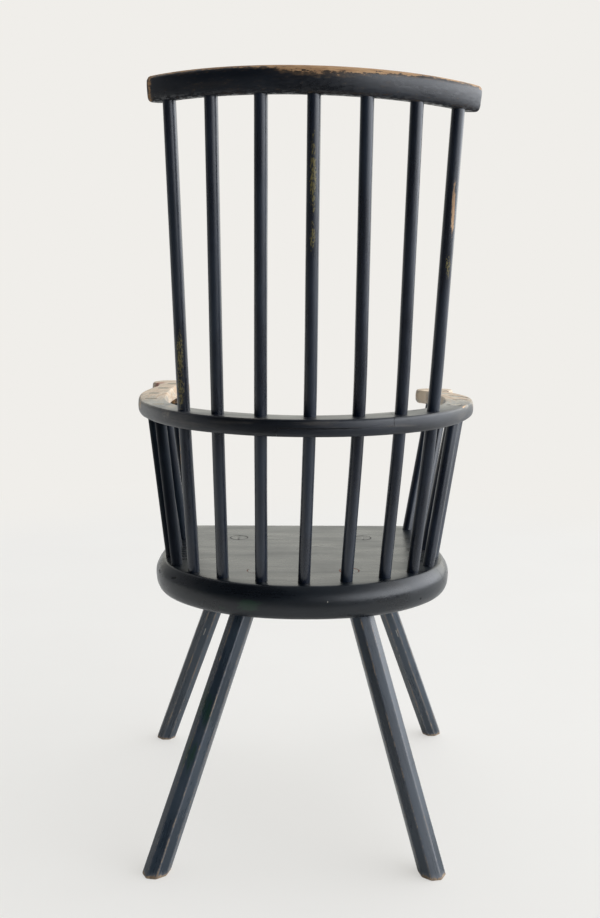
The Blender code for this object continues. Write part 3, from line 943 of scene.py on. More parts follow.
def hand_rub(piece, strength):
    """Wear that grows from the middle of each arm to its hand-hold, and is least underneath."""
    forward = np.clip((HOLD_LINE_Y - net_points(piece)[:, 1]) / HOLD_FADE + 0.5, 0, 1)
    upward = np.clip(net_normals(piece)[:, 2] * FACING_UP, 0, 1)
    return strength * np.maximum(forward * upward, forward**3 * HOLD_RUB)


left_rubs = [
    ((0.244, -0.147, 0.694), (0.012, 0.03, 0.01), 1.0),
    ((0.277, 0.0, 0.684), (0.006, 0.02, 0.009), 0.7),
    ((0.275, -0.113, 0.694), (0.008, 0.01, 0.004), 0.8),
    ((0.236, -0.02, 0.684), (0.016, 0.06, 0.014), 0.7),
    ((0.212, 0.08, 0.684), (0.012, 0.07, 0.012), 0.58),
]
right_rubs = [
    ((-0.224, -0.232, 0.676), (0.02, 0.03, 0.02), 1.0),
    ((-0.262, 0.04, 0.688), (0.007, 0.05, 0.005), 0.48),
    ((-0.285, -0.02, 0.684), (0.008, 0.06, 0.008), 0.6),
    ((-0.241, -0.069, 0.688), (0.008, 0.012, 0.006), 0.9),
]
for piece, spots in ((arm_left, left_rubs), (arm_right, right_rubs)):
    store(piece, "rubbed", np.maximum(hand_rub(piece, HAND_RUB), spots_on(piece, spots)))
    store(piece, "under", np.zeros(len(piece.data.vertices)))
    in_front = np.clip((BLACK_LINE_Y - net_points(piece)[:, 1]) / BLACK_FADE, BLACK_WEAR, 1)
    store(piece, "worn", stored_numbers(piece, "worn") * in_front)
    grain_round(piece, BOW_CENTRE, BOW_RADIUS, 0.0)
tell_wear("arms:", [arm_left, arm_right])

# %% [markdown]
# ## Wear on the comb
# Heads, hands and carrying have rubbed the comb's top edge bare: a wide patch right of the middle,
# seen from behind, and a thin line elsewhere. The depth of the patch is given at a few places and
# read off between them. Nobody reaches the underside, so it has kept its dust and is dull.

# %% Comb wear
COMB_CURVE = 0.330
COMB_SHIFT = 1.3
COMB_HALF = 0.26
COMB_BINS = 120
RUB_DEPTHS = {
    -0.26: 0.005, -0.2: 0.0055, -0.15: 0.0065, -0.115: 0.008, -0.09: 0.01, -0.05: 0.0118,
    0.0: 0.0118, 0.03: 0.0095, 0.045: 0.0062, 0.08: 0.0048, 0.15: 0.0042, 0.26: 0.0055,
}
RUB_AT_TOP, RUB_LOST = 1.25, 0.75
EDGE_WEAR_DEPTH = 0.012
EDGE_WEAR_TOP, EDGE_WEAR_LEAST = 1.4, 0.2
DUST_BELOW = 1.4


def below_top(piece):
    """How far each point lies below the highest point of the rail near it."""
    points = net_points(piece)
    places = ((points[:, 0] + COMB_HALF) / (2 * COMB_HALF) * COMB_BINS).astype(int)
    places = np.clip(places, 0, COMB_BINS - 1)
    tops = np.zeros(COMB_BINS)
    np.maximum.at(tops, places, points[:, 2])
    return tops[places] - points[:, 2]


comb_ends = [
    ((0.2185, 0.185, 1.147), (0.0035, 0.04, 0.04), 0.8),
    ((-0.238, 0.185, 1.16), (0.004, 0.04, 0.012), 0.6),
]
low_by = below_top(comb)
rub_depth = np.interp(net_points(comb)[:, 0], list(RUB_DEPTHS), list(RUB_DEPTHS.values()))
top_rub = np.clip(RUB_AT_TOP - RUB_LOST * low_by / rub_depth, 0, 1)
near_top = np.clip(EDGE_WEAR_TOP - low_by / EDGE_WEAR_DEPTH, EDGE_WEAR_LEAST, 1)
store(comb, "rubbed", np.maximum(top_rub, spots_on(comb, comb_ends)))
store(comb, "worn", stored_numbers(comb, "worn") * near_top)
store(comb, "under", np.zeros(len(low_by)))
store(comb, "dusty", np.clip(-net_normals(comb)[:, 2] * DUST_BELOW, 0, 1))
grain_round(comb, COMB_CENTRE, COMB_CURVE, COMB_SHIFT)
tell_wear("comb:", [comb])

# %% [markdown]
# ## Wear on the legs
# The legs have lost paint along their eight arrises, which were found as edges above, and round the
# soles. One rear leg also shows the green coat, as a broad faint patch along its middle.

# %% Leg wear
SOLE_REACH = 0.012
LEG_SHIFT = 1.9
leg_green = [
    ((0.153, 0.195, 0.245), (0.02, 0.03, 0.06), 0.8),
    ((0.176, 0.222, 0.17), (0.02, 0.03, 0.05), 0.7),
]
for number, (node, piece) in enumerate(legs.items()):
    foot, top = leg_lines[node]
    sole = np.clip(1 - net_points(piece)[:, 2] / SOLE_REACH, 0, 1)
    store(piece, "rubbed", sole)
    store(piece, "under", spots_on(piece, leg_green if node == "leg_rear_left" else []))
    grain_straight(piece, foot, top, LEG_SHIFT * number)
tell_wear("legs:", legs.values())

# %% [markdown]
# ## Wear on sticks and wedges
# Sticks have no edges to rub, so their wear is a few long streaks, where brown wood or the flecks
# of the old olive coat come through. The sawn end of a short stick is marked as its cap. Wedges
# hardly wear. Every stick and wedge starts its grain elsewhere, so that no two look alike.

# %% Stick and wedge wear
STICK_SHIFT, WEDGE_SHIFT = 0.83, 0.37
olive_streaks = {
    "back_stick_centre": [
        ((-0.0105, 0.261, 1.02), (0.0048, 0.02, 0.06), 0.95),
        ((-0.0105, 0.25, 0.94), (0.0045, 0.02, 0.025), 0.75),
    ],
    "back_stick_left_3": [
        ((0.1865, 0.159, 0.77), (0.0055, 0.02, 0.04), 1.0),
        ((0.187, 0.155, 0.72), (0.006, 0.02, 0.03), 0.9),
    ],
    "back_stick_right_3": [((-0.207, 0.177, 0.905), (0.004, 0.02, 0.02), 0.9)],
}
brown_streaks = {
    "back_stick_left_3": [((0.1935, 0.1408, 0.62), (0.0035, 0.02, 0.045), 1.0)],
    "back_stick_right_3": [((-0.2115, 0.184, 0.985), (0.0035, 0.02, 0.06), 0.95)],
    "short_stick_left_5": [
        ((0.232, -0.2, 0.6), (0.006, 0.02, 0.06), 0.9),
        ((0.248, -0.211, 0.669), (0.012, 0.01, 0.008), 1.0),
    ],
}
for number, (node, piece) in enumerate(sticks.items()):
    store(piece, "worn", np.zeros(len(piece.data.vertices)))
    store(piece, "rubbed", spots_on(piece, brown_streaks.get(node, [])))
    store(piece, "under", spots_on(piece, olive_streaks.get(node, [])))
    if node in SHORT_STICKS:
        place, up = end_plane(node)
        above = (net_points(piece) - np.array(place)) @ np.array(up)
        store(piece, "cap", (above > -CAP_DEPTH).astype(float))
    grain_straight(piece, courses[node][0][0], courses[node][-1][0], STICK_SHIFT * number)
for number, (node, piece) in enumerate(wedges.items()):
    low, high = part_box(node)
    for name in ("worn", "rubbed", "under"):
        store(piece, name, np.zeros(len(piece.data.vertices)))
    grain_straight(piece, low, (low[0], low[1], high[2]), WEDGE_SHIFT * number)
tell_wear("sticks:", sticks.values())

# %% [markdown]
# ## A workbench for materials
# A material is a chain of small steps. They could be wired by hand in the node editor, but as
# short functions they read like a recipe: one adds a step, the others do sums.

# %% Helpers for material recipes
def step(tree, kind, inputs, **settings):
    """Adds a node. Each input is a number, a colour or another node's output."""
    made = tree.nodes.new("ShaderNode" + kind)
    for key, value in settings.items():
        setattr(made, key, value)
    for key, value in inputs.items():
        if isinstance(value, bpy.types.NodeSocket):
            tree.links.new(value, made.inputs[key])
        else:
            made.inputs[key].default_value = value
    return made


def calc(tree, operation, first, second=0.0):
    """One sum in numbers."""
    return step(tree, "Math", {0: first, 1: second}, operation=operation).outputs[0]


def plus(tree, first, second):
    return calc(tree, "ADD", first, second)


def minus(tree, first, second):
    return calc(tree, "SUBTRACT", first, second)


def times(tree, first, second):
    return calc(tree, "MULTIPLY", first, second)


def larger(tree, first, second):
    return calc(tree, "MAXIMUM", first, second)


def vector(tree, operation, first, second):
    """The step for one sum in vectors."""
    return step(tree, "VectorMath", {0: first, 1: second}, operation=operation)


def stored(tree, name, output="Fac"):
    """What is kept at the piece's points under a name."""
    return step(tree, "Attribute", {}, attribute_name=name).outputs[output]


# %% [markdown]
# Masks and mixed colours come next. Colours are written as on a paint chart, from 0 to 255.

# %% Helpers for masks and colours
def mask(tree, value, low, high):
    """0 below low, 1 above high, and soft in between."""
    inputs = {"Value": value, "From Min": low, "From Max": high}
    return step(tree, "MapRange", inputs, interpolation_type="SMOOTHSTEP").outputs["Result"]


def blend(tree, share, first, second):
    """The first colour, turning into the second as the share grows."""
    made = step(tree, "Mix", {0: share, 6: first, 7: second}, data_type="RGBA")
    return made.outputs[2]


def srgb(red, green, blue):
    """A colour as a paint chart gives it, 0 to 255, turned into the light values Blender uses."""

    def light(value):
        value /= 255
        return value / 12.92 if value <= 0.04045 else ((value + 0.055) / 1.055) ** 2.4

    return light(red), light(green), light(blue), 1.0


# %% [markdown]
# ## The old black paint
# Black on old furniture is never one black. This one is a blue-black coat, thinner and browner
# where it has been handled, over an olive or green coat, over tan wood. A photographed texture
# would be the quick way, but it knows nothing of the shape and repeats. So all layers are mixed in
# one material from noise that is stretched along the grain: slow clouds, streaks, fine fibres,
# grit, flakes of paint, and flecks of the older coat.

# %% The figures of wood and brush
CLOUDS = (7, 26, 26)
STREAK_RUN, FIBRE_RUN = 11, 60
FIBRES_TO_STREAK = 5
GRIT = (700, 1100, 1100)
FLAKES = (110, 260, 260)
FLECKS = (260, 620, 620)


def figure(tree, grain, stretch, detail, rough=0.55):
    """Noise along the grain: how many spots to a metre, along it and twice across."""
    place = vector(tree, "MULTIPLY", grain, stretch).outputs[0]
    inputs = {"Vector": place, "Scale": 1.0, "Detail": detail, "Roughness": rough}
    return step(tree, "TexNoise", inputs).outputs["Fac"]


def figures(tree, streaks):
    """All the figures that the layers share. Streaks says how many lie on a metre."""
    fibres = streaks * FIBRES_TO_STREAK
    grain = stored(tree, "grain", "Vector")
    return {
        "clouds": figure(tree, grain, CLOUDS, 4),
        "lines": figure(tree, grain, (STREAK_RUN, streaks, streaks), 5),
        "fine": figure(tree, grain, (FIBRE_RUN, fibres, fibres), 4, 0.7),
        "grit": figure(tree, grain, GRIT, 2, 0.7),
        "flakes": minus(tree, figure(tree, grain, FLAKES, 3, 0.65), 0.5),
        "flecks": minus(tree, figure(tree, grain, FLECKS, 3, 0.65), 0.5),
    }


# %% [markdown]
# The stored wear decides which layer is seen, and the figures break its borders up along the
# grain. Before paint is gone it is handled: thinner, and browner or greyer. Each pair of numbers
# below says where a layer begins to show and where it shows in full.

# %% Decide which layer is seen
HANDLED = (0.12, 0.55)
BARE_MIDDLE = 0.61
OLDER_FROM, OLDER_TO = 0.45, 0.75
BREAK_LINES, BREAK_FIBRES, BREAK_LEVEL = 0.9, 0.7, 0.8
BREAK_ANYWHERE, BREAK_OLDER = 0.25, 1.3
FLAKE_PUSH = 4
FLECK_HOLD = 0.03


def worn_to(tree, shape, edge, feather, flaky, flecked):
    """How far each place is handled, worn to bare wood, and worn to the older coat."""
    under = stored(tree, "under")
    broken = times(tree, shape["lines"], BREAK_LINES)
    broken = plus(tree, broken, times(tree, shape["fine"], BREAK_FIBRES))
    broken = minus(tree, broken, BREAK_LEVEL)
    rub = larger(tree, times(tree, stored(tree, "worn"), edge), stored(tree, "rubbed"))
    rub = plus(tree, rub, times(tree, broken, plus(tree, rub, BREAK_ANYWHERE)))
    rub = plus(tree, rub, times(tree, shape["flakes"], flaky * FLAKE_PUSH))
    flecks = times(tree, times(tree, shape["flecks"], under), flecked)
    older = plus(tree, plus(tree, under, times(tree, broken, BREAK_OLDER)), flecks)
    bare = mask(tree, rub, BARE_MIDDLE - feather / 2, BARE_MIDDLE + feather / 2)
    older = mask(tree, older, OLDER_FROM + flecked * FLECK_HOLD, OLDER_TO)
    return mask(tree, rub, *HANDLED), bare, older


# %% [markdown]
# The layers are then laid over each other as colours. The thin coat shows in streaks, the handled
# and the older coat let some black through, and bare wood shows alone.

# %% Lay the layers over each other
SOFT_CLOUDS = (0.35, 0.65)
THIN_STREAKS = (0.52, 0.7)
THIN_EVERYWHERE, THIN_HANDLED = 0.12, 0.3
LIGHT_FIBRES = (0.38, 0.62)
DARK_LINES, LINE_COVER = (0.5, 0.62), 0.6
HANDLED_COVER, OLDER_COVER = 0.7, 0.8


def layered(tree, shape, worn, coats, wood, older_coat):
    """The colour of the layer that is seen."""
    dark, soft, thin = (srgb(*colour) for colour in coats)
    boards, light_boards, dark_lines = (srgb(*colour) for colour in wood)
    handled, bare, older = worn
    coat = blend(tree, mask(tree, shape["clouds"], *SOFT_CLOUDS), dark, soft)
    streaky = plus(tree, times(tree, handled, THIN_HANDLED), THIN_EVERYWHERE)
    coat = blend(tree, times(tree, mask(tree, shape["lines"], *THIN_STREAKS), streaky), coat, thin)
    boards = blend(tree, mask(tree, shape["fine"], *LIGHT_FIBRES), boards, light_boards)
    lined = times(tree, mask(tree, shape["lines"], *DARK_LINES), LINE_COVER)
    boards = blend(tree, lined, boards, dark_lines)
    colour = blend(tree, times(tree, handled, HANDLED_COVER), coat, thin)
    colour = blend(tree, times(tree, older, OLDER_COVER), colour, srgb(*older_coat))
    return blend(tree, bare, colour, boards)


# %% [markdown]
# Single cracks, scratches and rub marks are lines from one point to another on the surface. Each
# has a half-width, a colour, a share of that colour, and a depth, which dents and dulls the paint.
# The four rings are the ends of the leg tenons, where glue and paint have parted in places.

# %% Draw marks and rings
RAGGED = 0.0006
CORE, MARK_RIM, RING_RIM = 0.5, 1.3, 1.5
RING_DEEP = 5
RING_FADE = 0.08


def off_line(tree, place, start, end):
    """How far a place lies from the straight line between two points."""
    run = Vector(end) - Vector(start)
    from_start = vector(tree, "SUBTRACT", place, start).outputs["Vector"]
    along = vector(tree, "DOT_PRODUCT", from_start, run / run.length_squared).outputs["Value"]
    along = step(tree, "Clamp", {"Value": along}).outputs["Result"]
    reached = step(tree, "VectorMath", {0: run, "Scale": along}, operation="SCALE")
    return vector(tree, "DISTANCE", from_start, reached.outputs["Vector"]).outputs["Value"]


def close_to(tree, away, half_width, rim):
    """1 within a line and 0 off it."""
    return minus(tree, 1.0, mask(tree, away, half_width * CORE, half_width * rim))


def with_marks(tree, shape, colour, marks, rings):
    """The colour with marks and rings on it, and how deep they are."""
    place = step(tree, "TexCoord", {}).outputs["Object"]
    ragged = times(tree, minus(tree, shape["grit"], 0.5), RAGGED)
    dents = 0.0
    for start, end, half_width, fill, share, deep in marks:
        away = plus(tree, off_line(tree, place, start, end), ragged)
        mark = times(tree, close_to(tree, away, half_width, MARK_RIM), share)
        colour = blend(tree, mark, colour, fill)
        dents = larger(tree, dents, times(tree, mark, deep))
    for middle, radius, half_width, fill, low in rings:
        reached = vector(tree, "DISTANCE", place, middle).outputs["Value"]
        away = calc(tree, "ABSOLUTE", minus(tree, reached, radius))
        left_in = mask(tree, shape["clouds"], low, low + RING_FADE)
        mark = times(tree, close_to(tree, away, half_width, RING_RIM), left_in)
        colour = blend(tree, mark, colour, fill)
        dents = larger(tree, dents, times(tree, mark, RING_DEEP))
    return colour, dents


# %% [markdown]
# Colour alone looks printed. Bare wood, dents and dust are duller than paint, and the gloss wanders
# with the clouds. The relief follows the grain, the brush, the step from paint to wood and, most of
# all, the slow waves that a drawknife leaves. Each table says how much every figure has to say.

# %% Give the paint its gloss and relief
DULLED_BY = {"clouds": 0.4, "lines": 0.12, "fine": 0.16}
RAISED_BY = {"lines": 0.6, "fine": 0.35, "grit": 0.06}
OPEN_IS_DULL, OPEN_IS_LOW = 0.25, 0.35
DUSTY_FLAKES = (-0.1, 0.1)
SHAVED = 2.5
RELIEF_HEIGHT = 0.0006


def set_gloss(tree, shader, shape, opened, gloss):
    """The roughness of each place, from the paint's own and from all that dulls it."""
    dull = gloss
    for name, amount in DULLED_BY.items():
        dull = plus(tree, dull, times(tree, minus(tree, shape[name], 0.5), amount))
    dull = plus(tree, dull, times(tree, opened, OPEN_IS_DULL))
    dust = times(tree, stored(tree, "dusty"), mask(tree, shape["flakes"], *DUSTY_FLAKES))
    tree.links.new(plus(tree, dull, dust), shader.inputs["Roughness"])


def set_relief(tree, shader, shape, opened, relief):
    """The bump of each place."""
    high = 0.0
    for name, amount in RAISED_BY.items():
        high = plus(tree, high, times(tree, shape[name], amount))
    high = minus(tree, high, times(tree, opened, OPEN_IS_LOW))
    high = plus(tree, high, times(tree, shape["clouds"], SHAVED))
    bump = step(tree, "Bump", {"Height": high, "Strength": relief, "Distance": RELIEF_HEIGHT})
    tree.links.new(bump.outputs["Normal"], shader.inputs["Normal"])


# %% [markdown]
# Now one function can mix any batch. Edge is how much of the edges is bare, feather how soft the
# border of bare wood is, flaky how chipped it is, and flecked how speckled the older coat shows. A
# cap is the colour of sawn end grain. Values that are the same all over go straight to the shader.

# %% Mix the paint
TAN_WOOD = ((160, 122, 84), (188, 150, 108), (96, 66, 44))
GREY_WOOD = ((130, 108, 84), (152, 132, 108), (92, 76, 60))
PALE_WOOD = ((194, 172, 144), (216, 198, 176), (166, 130, 98))
GREEN_COAT = (22, 50, 36)
OLIVE_COAT = (122, 112, 66)
PAINT_IOR = 1.5


def old_paint(
    name, coats, streaks, edge, gloss, relief, wood=TAN_WOOD, older_coat=OLIVE_COAT,
    feather=0.22, shine=0.5, flaky=0.2, flecked=0.0, marks=(), rings=(), cap=None,
):
    """A batch of worn paint."""
    finish = bpy.data.materials.new(name)
    finish.use_nodes = True
    tree = finish.node_tree
    shader = tree.nodes["Principled BSDF"]
    shape = figures(tree, streaks)
    worn = worn_to(tree, shape, edge, feather, flaky, flecked)
    colour = layered(tree, shape, worn, coats, wood, older_coat)
    colour, dents = with_marks(tree, shape, colour, marks, rings)
    if cap:
        colour = blend(tree, stored(tree, "cap"), colour, srgb(*cap))
    tree.links.new(colour, shader.inputs["Base Color"])
    opened = larger(tree, worn[1], dents)
    set_gloss(tree, shader, shape, opened, gloss)
    set_relief(tree, shader, shape, opened, relief)
    shader.inputs["IOR"].default_value = PAINT_IOR
    shader.inputs["Specular IOR Level"].default_value = shine
    return finish


# %% [markdown]
# ## Marks of this one chair
# The marks are given one by one, in metres. On the seat they are a chip that shows chalky ground, a
# pit, a nick, the crack that runs over the right edge, two chipped places and two scratches.

# %% Marks on the seat and the legs
BLACK_LINE = srgb(8, 8, 9)
RED_LINE = srgb(124, 58, 34)
CHALK = srgb(190, 184, 172)
RING_RADIUS, RING_HALF_WIDTH = 0.0145, 0.0015

seat_marks = [
    ((-0.0352, 0.2083, 0.4076), (-0.0354, 0.2083, 0.4094), 0.0005, CHALK, 0.8, 1),
    ((-0.1823, 0.1454, 0.3938), (-0.1832, 0.1446, 0.3938), 0.0016, BLACK_LINE, 0.95, 5),
    ((-0.1776, 0.1507, 0.4063), (-0.1795, 0.149, 0.4066), 0.0007, BLACK_LINE, 0.8, 2),
    ((-0.2145, 0.0928, 0.4266), (-0.2219, 0.0928, 0.4166), 0.0006, BLACK_LINE, 0.95, 3),
    ((-0.2219, 0.0928, 0.4166), (-0.2258, 0.0907, 0.4046), 0.0006, BLACK_LINE, 0.95, 3),
    ((0.2053, 0.1212, 0.4193), (0.2117, 0.115, 0.4172), 0.002, BLACK_LINE, 0.75, 3),
    ((0.2372, 0.0742, 0.4138), (0.24, 0.066, 0.417), 0.0018, BLACK_LINE, 0.6, 3),
    ((0.014, -0.018, 0.43), (-0.032, -0.043, 0.43), 0.0006, BLACK_LINE, 0.85, 2),
    ((0.175, 0.044, 0.43), (0.148, 0.038, 0.43), 0.0007, BLACK_LINE, 0.75, 2),
]
leg_marks = [
    ((0.1847, -0.1203, 0.2486), (0.1892, -0.1229, 0.236), 0.0008, CHALK, 0.5, 1),
    ((-0.1728, -0.1304, 0.2434), (-0.1775, -0.1337, 0.23), 0.0008, CHALK, 0.5, 1),
]
seat_rings = []
for node in LEGS:
    look = (RED_LINE, 0.42) if "rear" in node else (BLACK_LINE, 0.3)
    seat_rings.append((leg_lines[node][1], RING_RADIUS, RING_HALF_WIDTH, *look))
print(len(seat_marks), "marks and", len(seat_rings), "rings on the seat")

# %% [markdown]
# On the bow they are the upright crack at the end of the lap, slits in the worn top of the right
# arm, its rubbed rear edge, and the reddish and pale places on the hand-holds. The pale place on
# the right hook's rear face is bare wood made paler still, and that extra paleness is painted
# light.
# The lap's long line follows the bow's rear face, so its points are looked up on the net.

# %% Marks on the bow
SLIT = srgb(70, 38, 30)
LAP_LINE_X = (0.038, -0.127)
LAP_POINTS = 9
NEAR_LEVEL, NEAR_X = 0.003, 0.004

lap_marks = [
    ((-0.129, 0.2195, 0.6888), (-0.1288, 0.2222, 0.6804), 0.0006, BLACK_LINE, 0.95, 3),
    ((-0.2435, -0.0688, 0.689), (-0.2475, -0.0688, 0.685), 0.0016, srgb(70, 40, 26), 0.9, 1),
    ((-0.26, -0.1209, 0.6884), (-0.273, -0.1068, 0.6886), 0.003, SLIT, 0.95, 4),
    ((-0.273, -0.1068, 0.6886), (-0.2844, -0.075, 0.689), 0.003, SLIT, 0.95, 4),
    ((-0.2555, -0.0375, 0.6894), (-0.2754, -0.038, 0.6894), 0.0028, srgb(66, 40, 34), 0.95, 4),
    ((-0.2616, -0.2107, 0.6874), (-0.278, -0.232, 0.687), 0.003, SLIT, 0.9, 4),
    ((-0.2312, 0.0538, 0.69), (-0.2402, 0.0491, 0.69), 0.0034, BLACK_LINE, 0.95, 5),
    ((-0.2402, 0.0491, 0.69), (-0.2491, 0.0638, 0.69), 0.0034, BLACK_LINE, 0.95, 5),
    ((-0.252, 0.076, 0.6885), (-0.266, 0.032, 0.6878), 0.0014, srgb(206, 160, 108), 0.8, 0),
    ((0.2826, -0.2289, 0.6944), (0.277, -0.236, 0.7), 0.009, srgb(150, 72, 52), 0.75, 0),
    # Painted light: a very pale patch on the right hook's rear face, brighter than its bare wood.
    ((-0.224, -0.2292, 0.6764), (-0.23, -0.2292, 0.6764), 0.018, srgb(250, 228, 198), 0.95, 0),
    ((0.2754, -0.1127, 0.6955), (0.262, -0.115, 0.6955), 0.0012, srgb(140, 66, 48), 0.8, 1),
]
rear = net_points(arm_left)
rear = rear[np.abs(rear[:, 2] - LAP_LEVEL_Z) < NEAR_LEVEL]
lap_course = []
for x in np.linspace(*LAP_LINE_X, LAP_POINTS):
    lap_course.append((x, rear[np.abs(rear[:, 0] - x) < NEAR_X, 1].max(), LAP_LEVEL_Z))
for one, two in zip(lap_course, lap_course[1:]):
    lap_marks.append((one, two, 0.0009, BLACK_LINE, 0.95, 4))
print(len(lap_marks), "marks on the bow")

# %% [markdown]
# ## A batch for every part
# The seat is greyer from dust and sitting, the arms end in pale handled wood, and the comb shows
# warm tan wood. The legs are slate blue. Their coats are lighter than the rest, partly as painted
# light from the pale floor below. The left short sticks stand in the shade, so their batch has
# darker colours, which are painted shade, and less gloss. The wedges are almost black.

# %% Mix every batch
SAWN_END = (166, 156, 138)
recipes = {
    "seat_paint": {
        "coats": ((8, 13, 19), (17, 23, 29), (46, 45, 43)), "older_coat": GREEN_COAT,
        "streaks": 90, "edge": 0.2, "gloss": 0.3, "relief": 0.28,
        "marks": seat_marks, "rings": seat_rings,
    },
    "leg_paint": {
        # Lighter coats than the other parts: slate blue paint, lightened partly as painted light
        # from the pale floor below.
        "coats": ((33, 43, 52), (48, 58, 68), (82, 86, 92)), "older_coat": GREEN_COAT,
        "streaks": 120, "edge": 0.58, "gloss": 0.29, "relief": 0.3,
        "wood": GREY_WOOD, "flaky": 0.1, "marks": leg_marks, "cap": (24, 27, 30),
    },
    "arm_paint": {
        "coats": ((9, 13, 20), (18, 24, 34), (146, 136, 122)),
        "streaks": 100, "edge": 0.3, "gloss": 0.38, "relief": 0.35,
        "wood": PALE_WOOD, "feather": 0.5, "flaky": 0.12, "marks": lap_marks,
    },
    "comb_paint": {
        "coats": ((10, 14, 21), (21, 26, 34), (84, 68, 52)),
        "streaks": 110, "edge": 0.34, "gloss": 0.3, "relief": 0.35,
        "feather": 0.1, "flaky": 0.4,
    },
    "stick_paint": {
        "coats": ((12, 19, 32), (23, 34, 48), (44, 51, 60)),
        "streaks": 150, "edge": 0.0, "gloss": 0.31, "relief": 0.3,
        "shine": 0.65, "flecked": 8, "cap": SAWN_END,
    },
    # Painted shade: darker coats than stick_paint, for the left short sticks that stand in the
    # shade.
    "painted_shade_stick_paint": {
        "coats": ((12, 18, 28), (20, 30, 40), (36, 42, 48)),
        "streaks": 150, "edge": 0.0, "gloss": 0.5, "relief": 0.3,
        "shine": 0.15, "cap": SAWN_END,
    },
    "wedge_paint": {
        "coats": ((14, 11, 9), (24, 19, 16), (40, 30, 24)),
        "streaks": 200, "edge": 0.0, "gloss": 0.8, "relief": 0.5, "shine": 0.05,
    },
}
batches = {name: old_paint(name, **recipe) for name, recipe in recipes.items()}
print("mixed:", ", ".join(batches))

# %% [markdown]
# Every piece takes one batch. The legs' wedges are painted over with the seat, and the arms' wedges
# show dark.

# %% Paint the pieces
def paint(piece, slot):
    """Gives the piece its batch of paint."""
    piece.data.materials.clear()
    piece.data.materials.append(batches[slot])


paint(seat, "seat_paint")
paint(arm_left, "arm_paint")
paint(arm_right, "arm_paint")
paint(comb, "comb_paint")
for piece in legs.values():
    paint(piece, "leg_paint")
for node, piece in sticks.items():
    # The left short sticks take the batch with painted shade.
    paint(piece, "painted_shade_stick_paint" if node.startswith("short_stick_left") else "stick_paint")
for node, piece in wedges.items():
    paint(piece, "seat_paint" if node.startswith("leg") else "wedge_paint")

# %% [markdown]
# ## Floor
# A plain pale floor that catches the chair's soft shadow. Far from the chair it fades into the pale
# background, so that no horizon cuts through the view. Near it, a part of the same even tone is
# mixed in, which softens the shadow. On the viewer's side the floor sends little light back to the
# chair, though it is seen pale.

# %% Floor
FLOOR_SIZE = 14
EVEN_SHARE = 0.62
FADE_FROM, FADE_TO = 0.9, 2.8
VIEWER_FROM, VIEWER_TO = 0.7, 1.5
VIEWER_DIM = 0.85
PATCHES = {"Scale": 3.0, "Detail": 6.0}
MATT = 0.85
BACKGROUND = srgb(240, 238, 234)
PALE, PALER, DIM = srgb(232, 230, 226), srgb(240, 239, 235), srgb(60, 58, 54)

floor_mesh = bmesh.new()
bmesh.ops.create_grid(floor_mesh, x_segments=1, y_segments=1, size=FLOOR_SIZE)
floor = as_object("floor", floor_mesh)
floor_finish = bpy.data.materials.new("pale_floor")
floor_finish.use_nodes = True
tree = floor_finish.node_tree
floor_shader = tree.nodes["Principled BSDF"]
place = step(tree, "NewGeometry", {}).outputs["Position"]
patches = step(tree, "TexNoise", {"Vector": place, **PATCHES}).outputs["Fac"]
seen = step(tree, "LightPath", {}).outputs["Is Camera Ray"]
viewer_side = step(tree, "SeparateXYZ", {0: place}).outputs[1]
dimmed = times(tree, mask(tree, viewer_side, VIEWER_FROM, VIEWER_TO), minus(tree, 1.0, seen))
tone = blend(tree, times(tree, dimmed, VIEWER_DIM), blend(tree, patches, PALE, PALER), DIM)
tree.links.new(tone, floor_shader.inputs["Base Color"])
floor_shader.inputs["Roughness"].default_value = MATT
reach = step(tree, "VectorMath", {0: place}, operation="LENGTH").outputs["Value"]
even = larger(tree, mask(tree, reach, FADE_FROM, FADE_TO), EVEN_SHARE)
glow = step(tree, "Emission", {"Color": BACKGROUND, "Strength": 1.0}).outputs[0]
fade = step(tree, "MixShader", {0: times(tree, even, seen), 1: floor_shader.outputs[0], 2: glow})
tree.links.new(fade.outputs[0], tree.nodes["Material Output"].inputs["Surface"])
floor.data.materials.append(floor_finish)
print("the floor's finish has", len(tree.nodes), "steps")

# %% [markdown]
# ## Light
# Soft light comes from a large window to the right of the picture, mostly from above the horizon,
# and some from in front of the sitter. The other side is shady, and it is dark behind the viewer
# and overhead there. The light in front is what gives the seat its grey gleam, because the seat
# mirrors it at a glancing angle. Lamps and screens could be built for all this, but one soft
# gradient in the world does it with less noise. It starts at an even strength of 1, and each side
# adds or takes its share.

# %% How strong the light is from each side
WINDOW_WAY, WINDOW_SPREAD, WINDOW_LIGHT = (-0.985, 0.174, 0.0), (0.2, 0.9), 3.7
DARK_WAY, DARK_SPREAD, DARK_LIGHT = (0.36, 0.933, 0.0), (0.35, 0.9), -0.88
SHADY_SPREAD, SHADY_LIGHT = (0.0, 0.8), -0.65
FRONT_SPREAD, FRONT_LIGHT = (0.3, 0.9), 0.3
ZENITH_SPREAD, ZENITH_LIGHT = (0.5, 0.95), 0.5
CEILING_SPREAD, CEILING_FROM, CEILING_LIGHT = (0.3, 0.65), (-0.25, 0.25), -1.0
UPPER_END, HORIZON = (0.3, 0.8), (-0.25, 0.12)
LOW_SHARE = 0.4

world = bpy.data.worlds.new("soft_light")
bpy.context.scene.world = world
world.use_nodes = True
tree = world.node_tree
towards = step(tree, "TexCoord", {}).outputs["Generated"]
east, north, up = step(tree, "SeparateXYZ", {0: towards}).outputs


def facing(way, spread):
    """How far a direction points one way."""
    return mask(tree, vector(tree, "DOT_PRODUCT", towards, way).outputs["Value"], *spread)


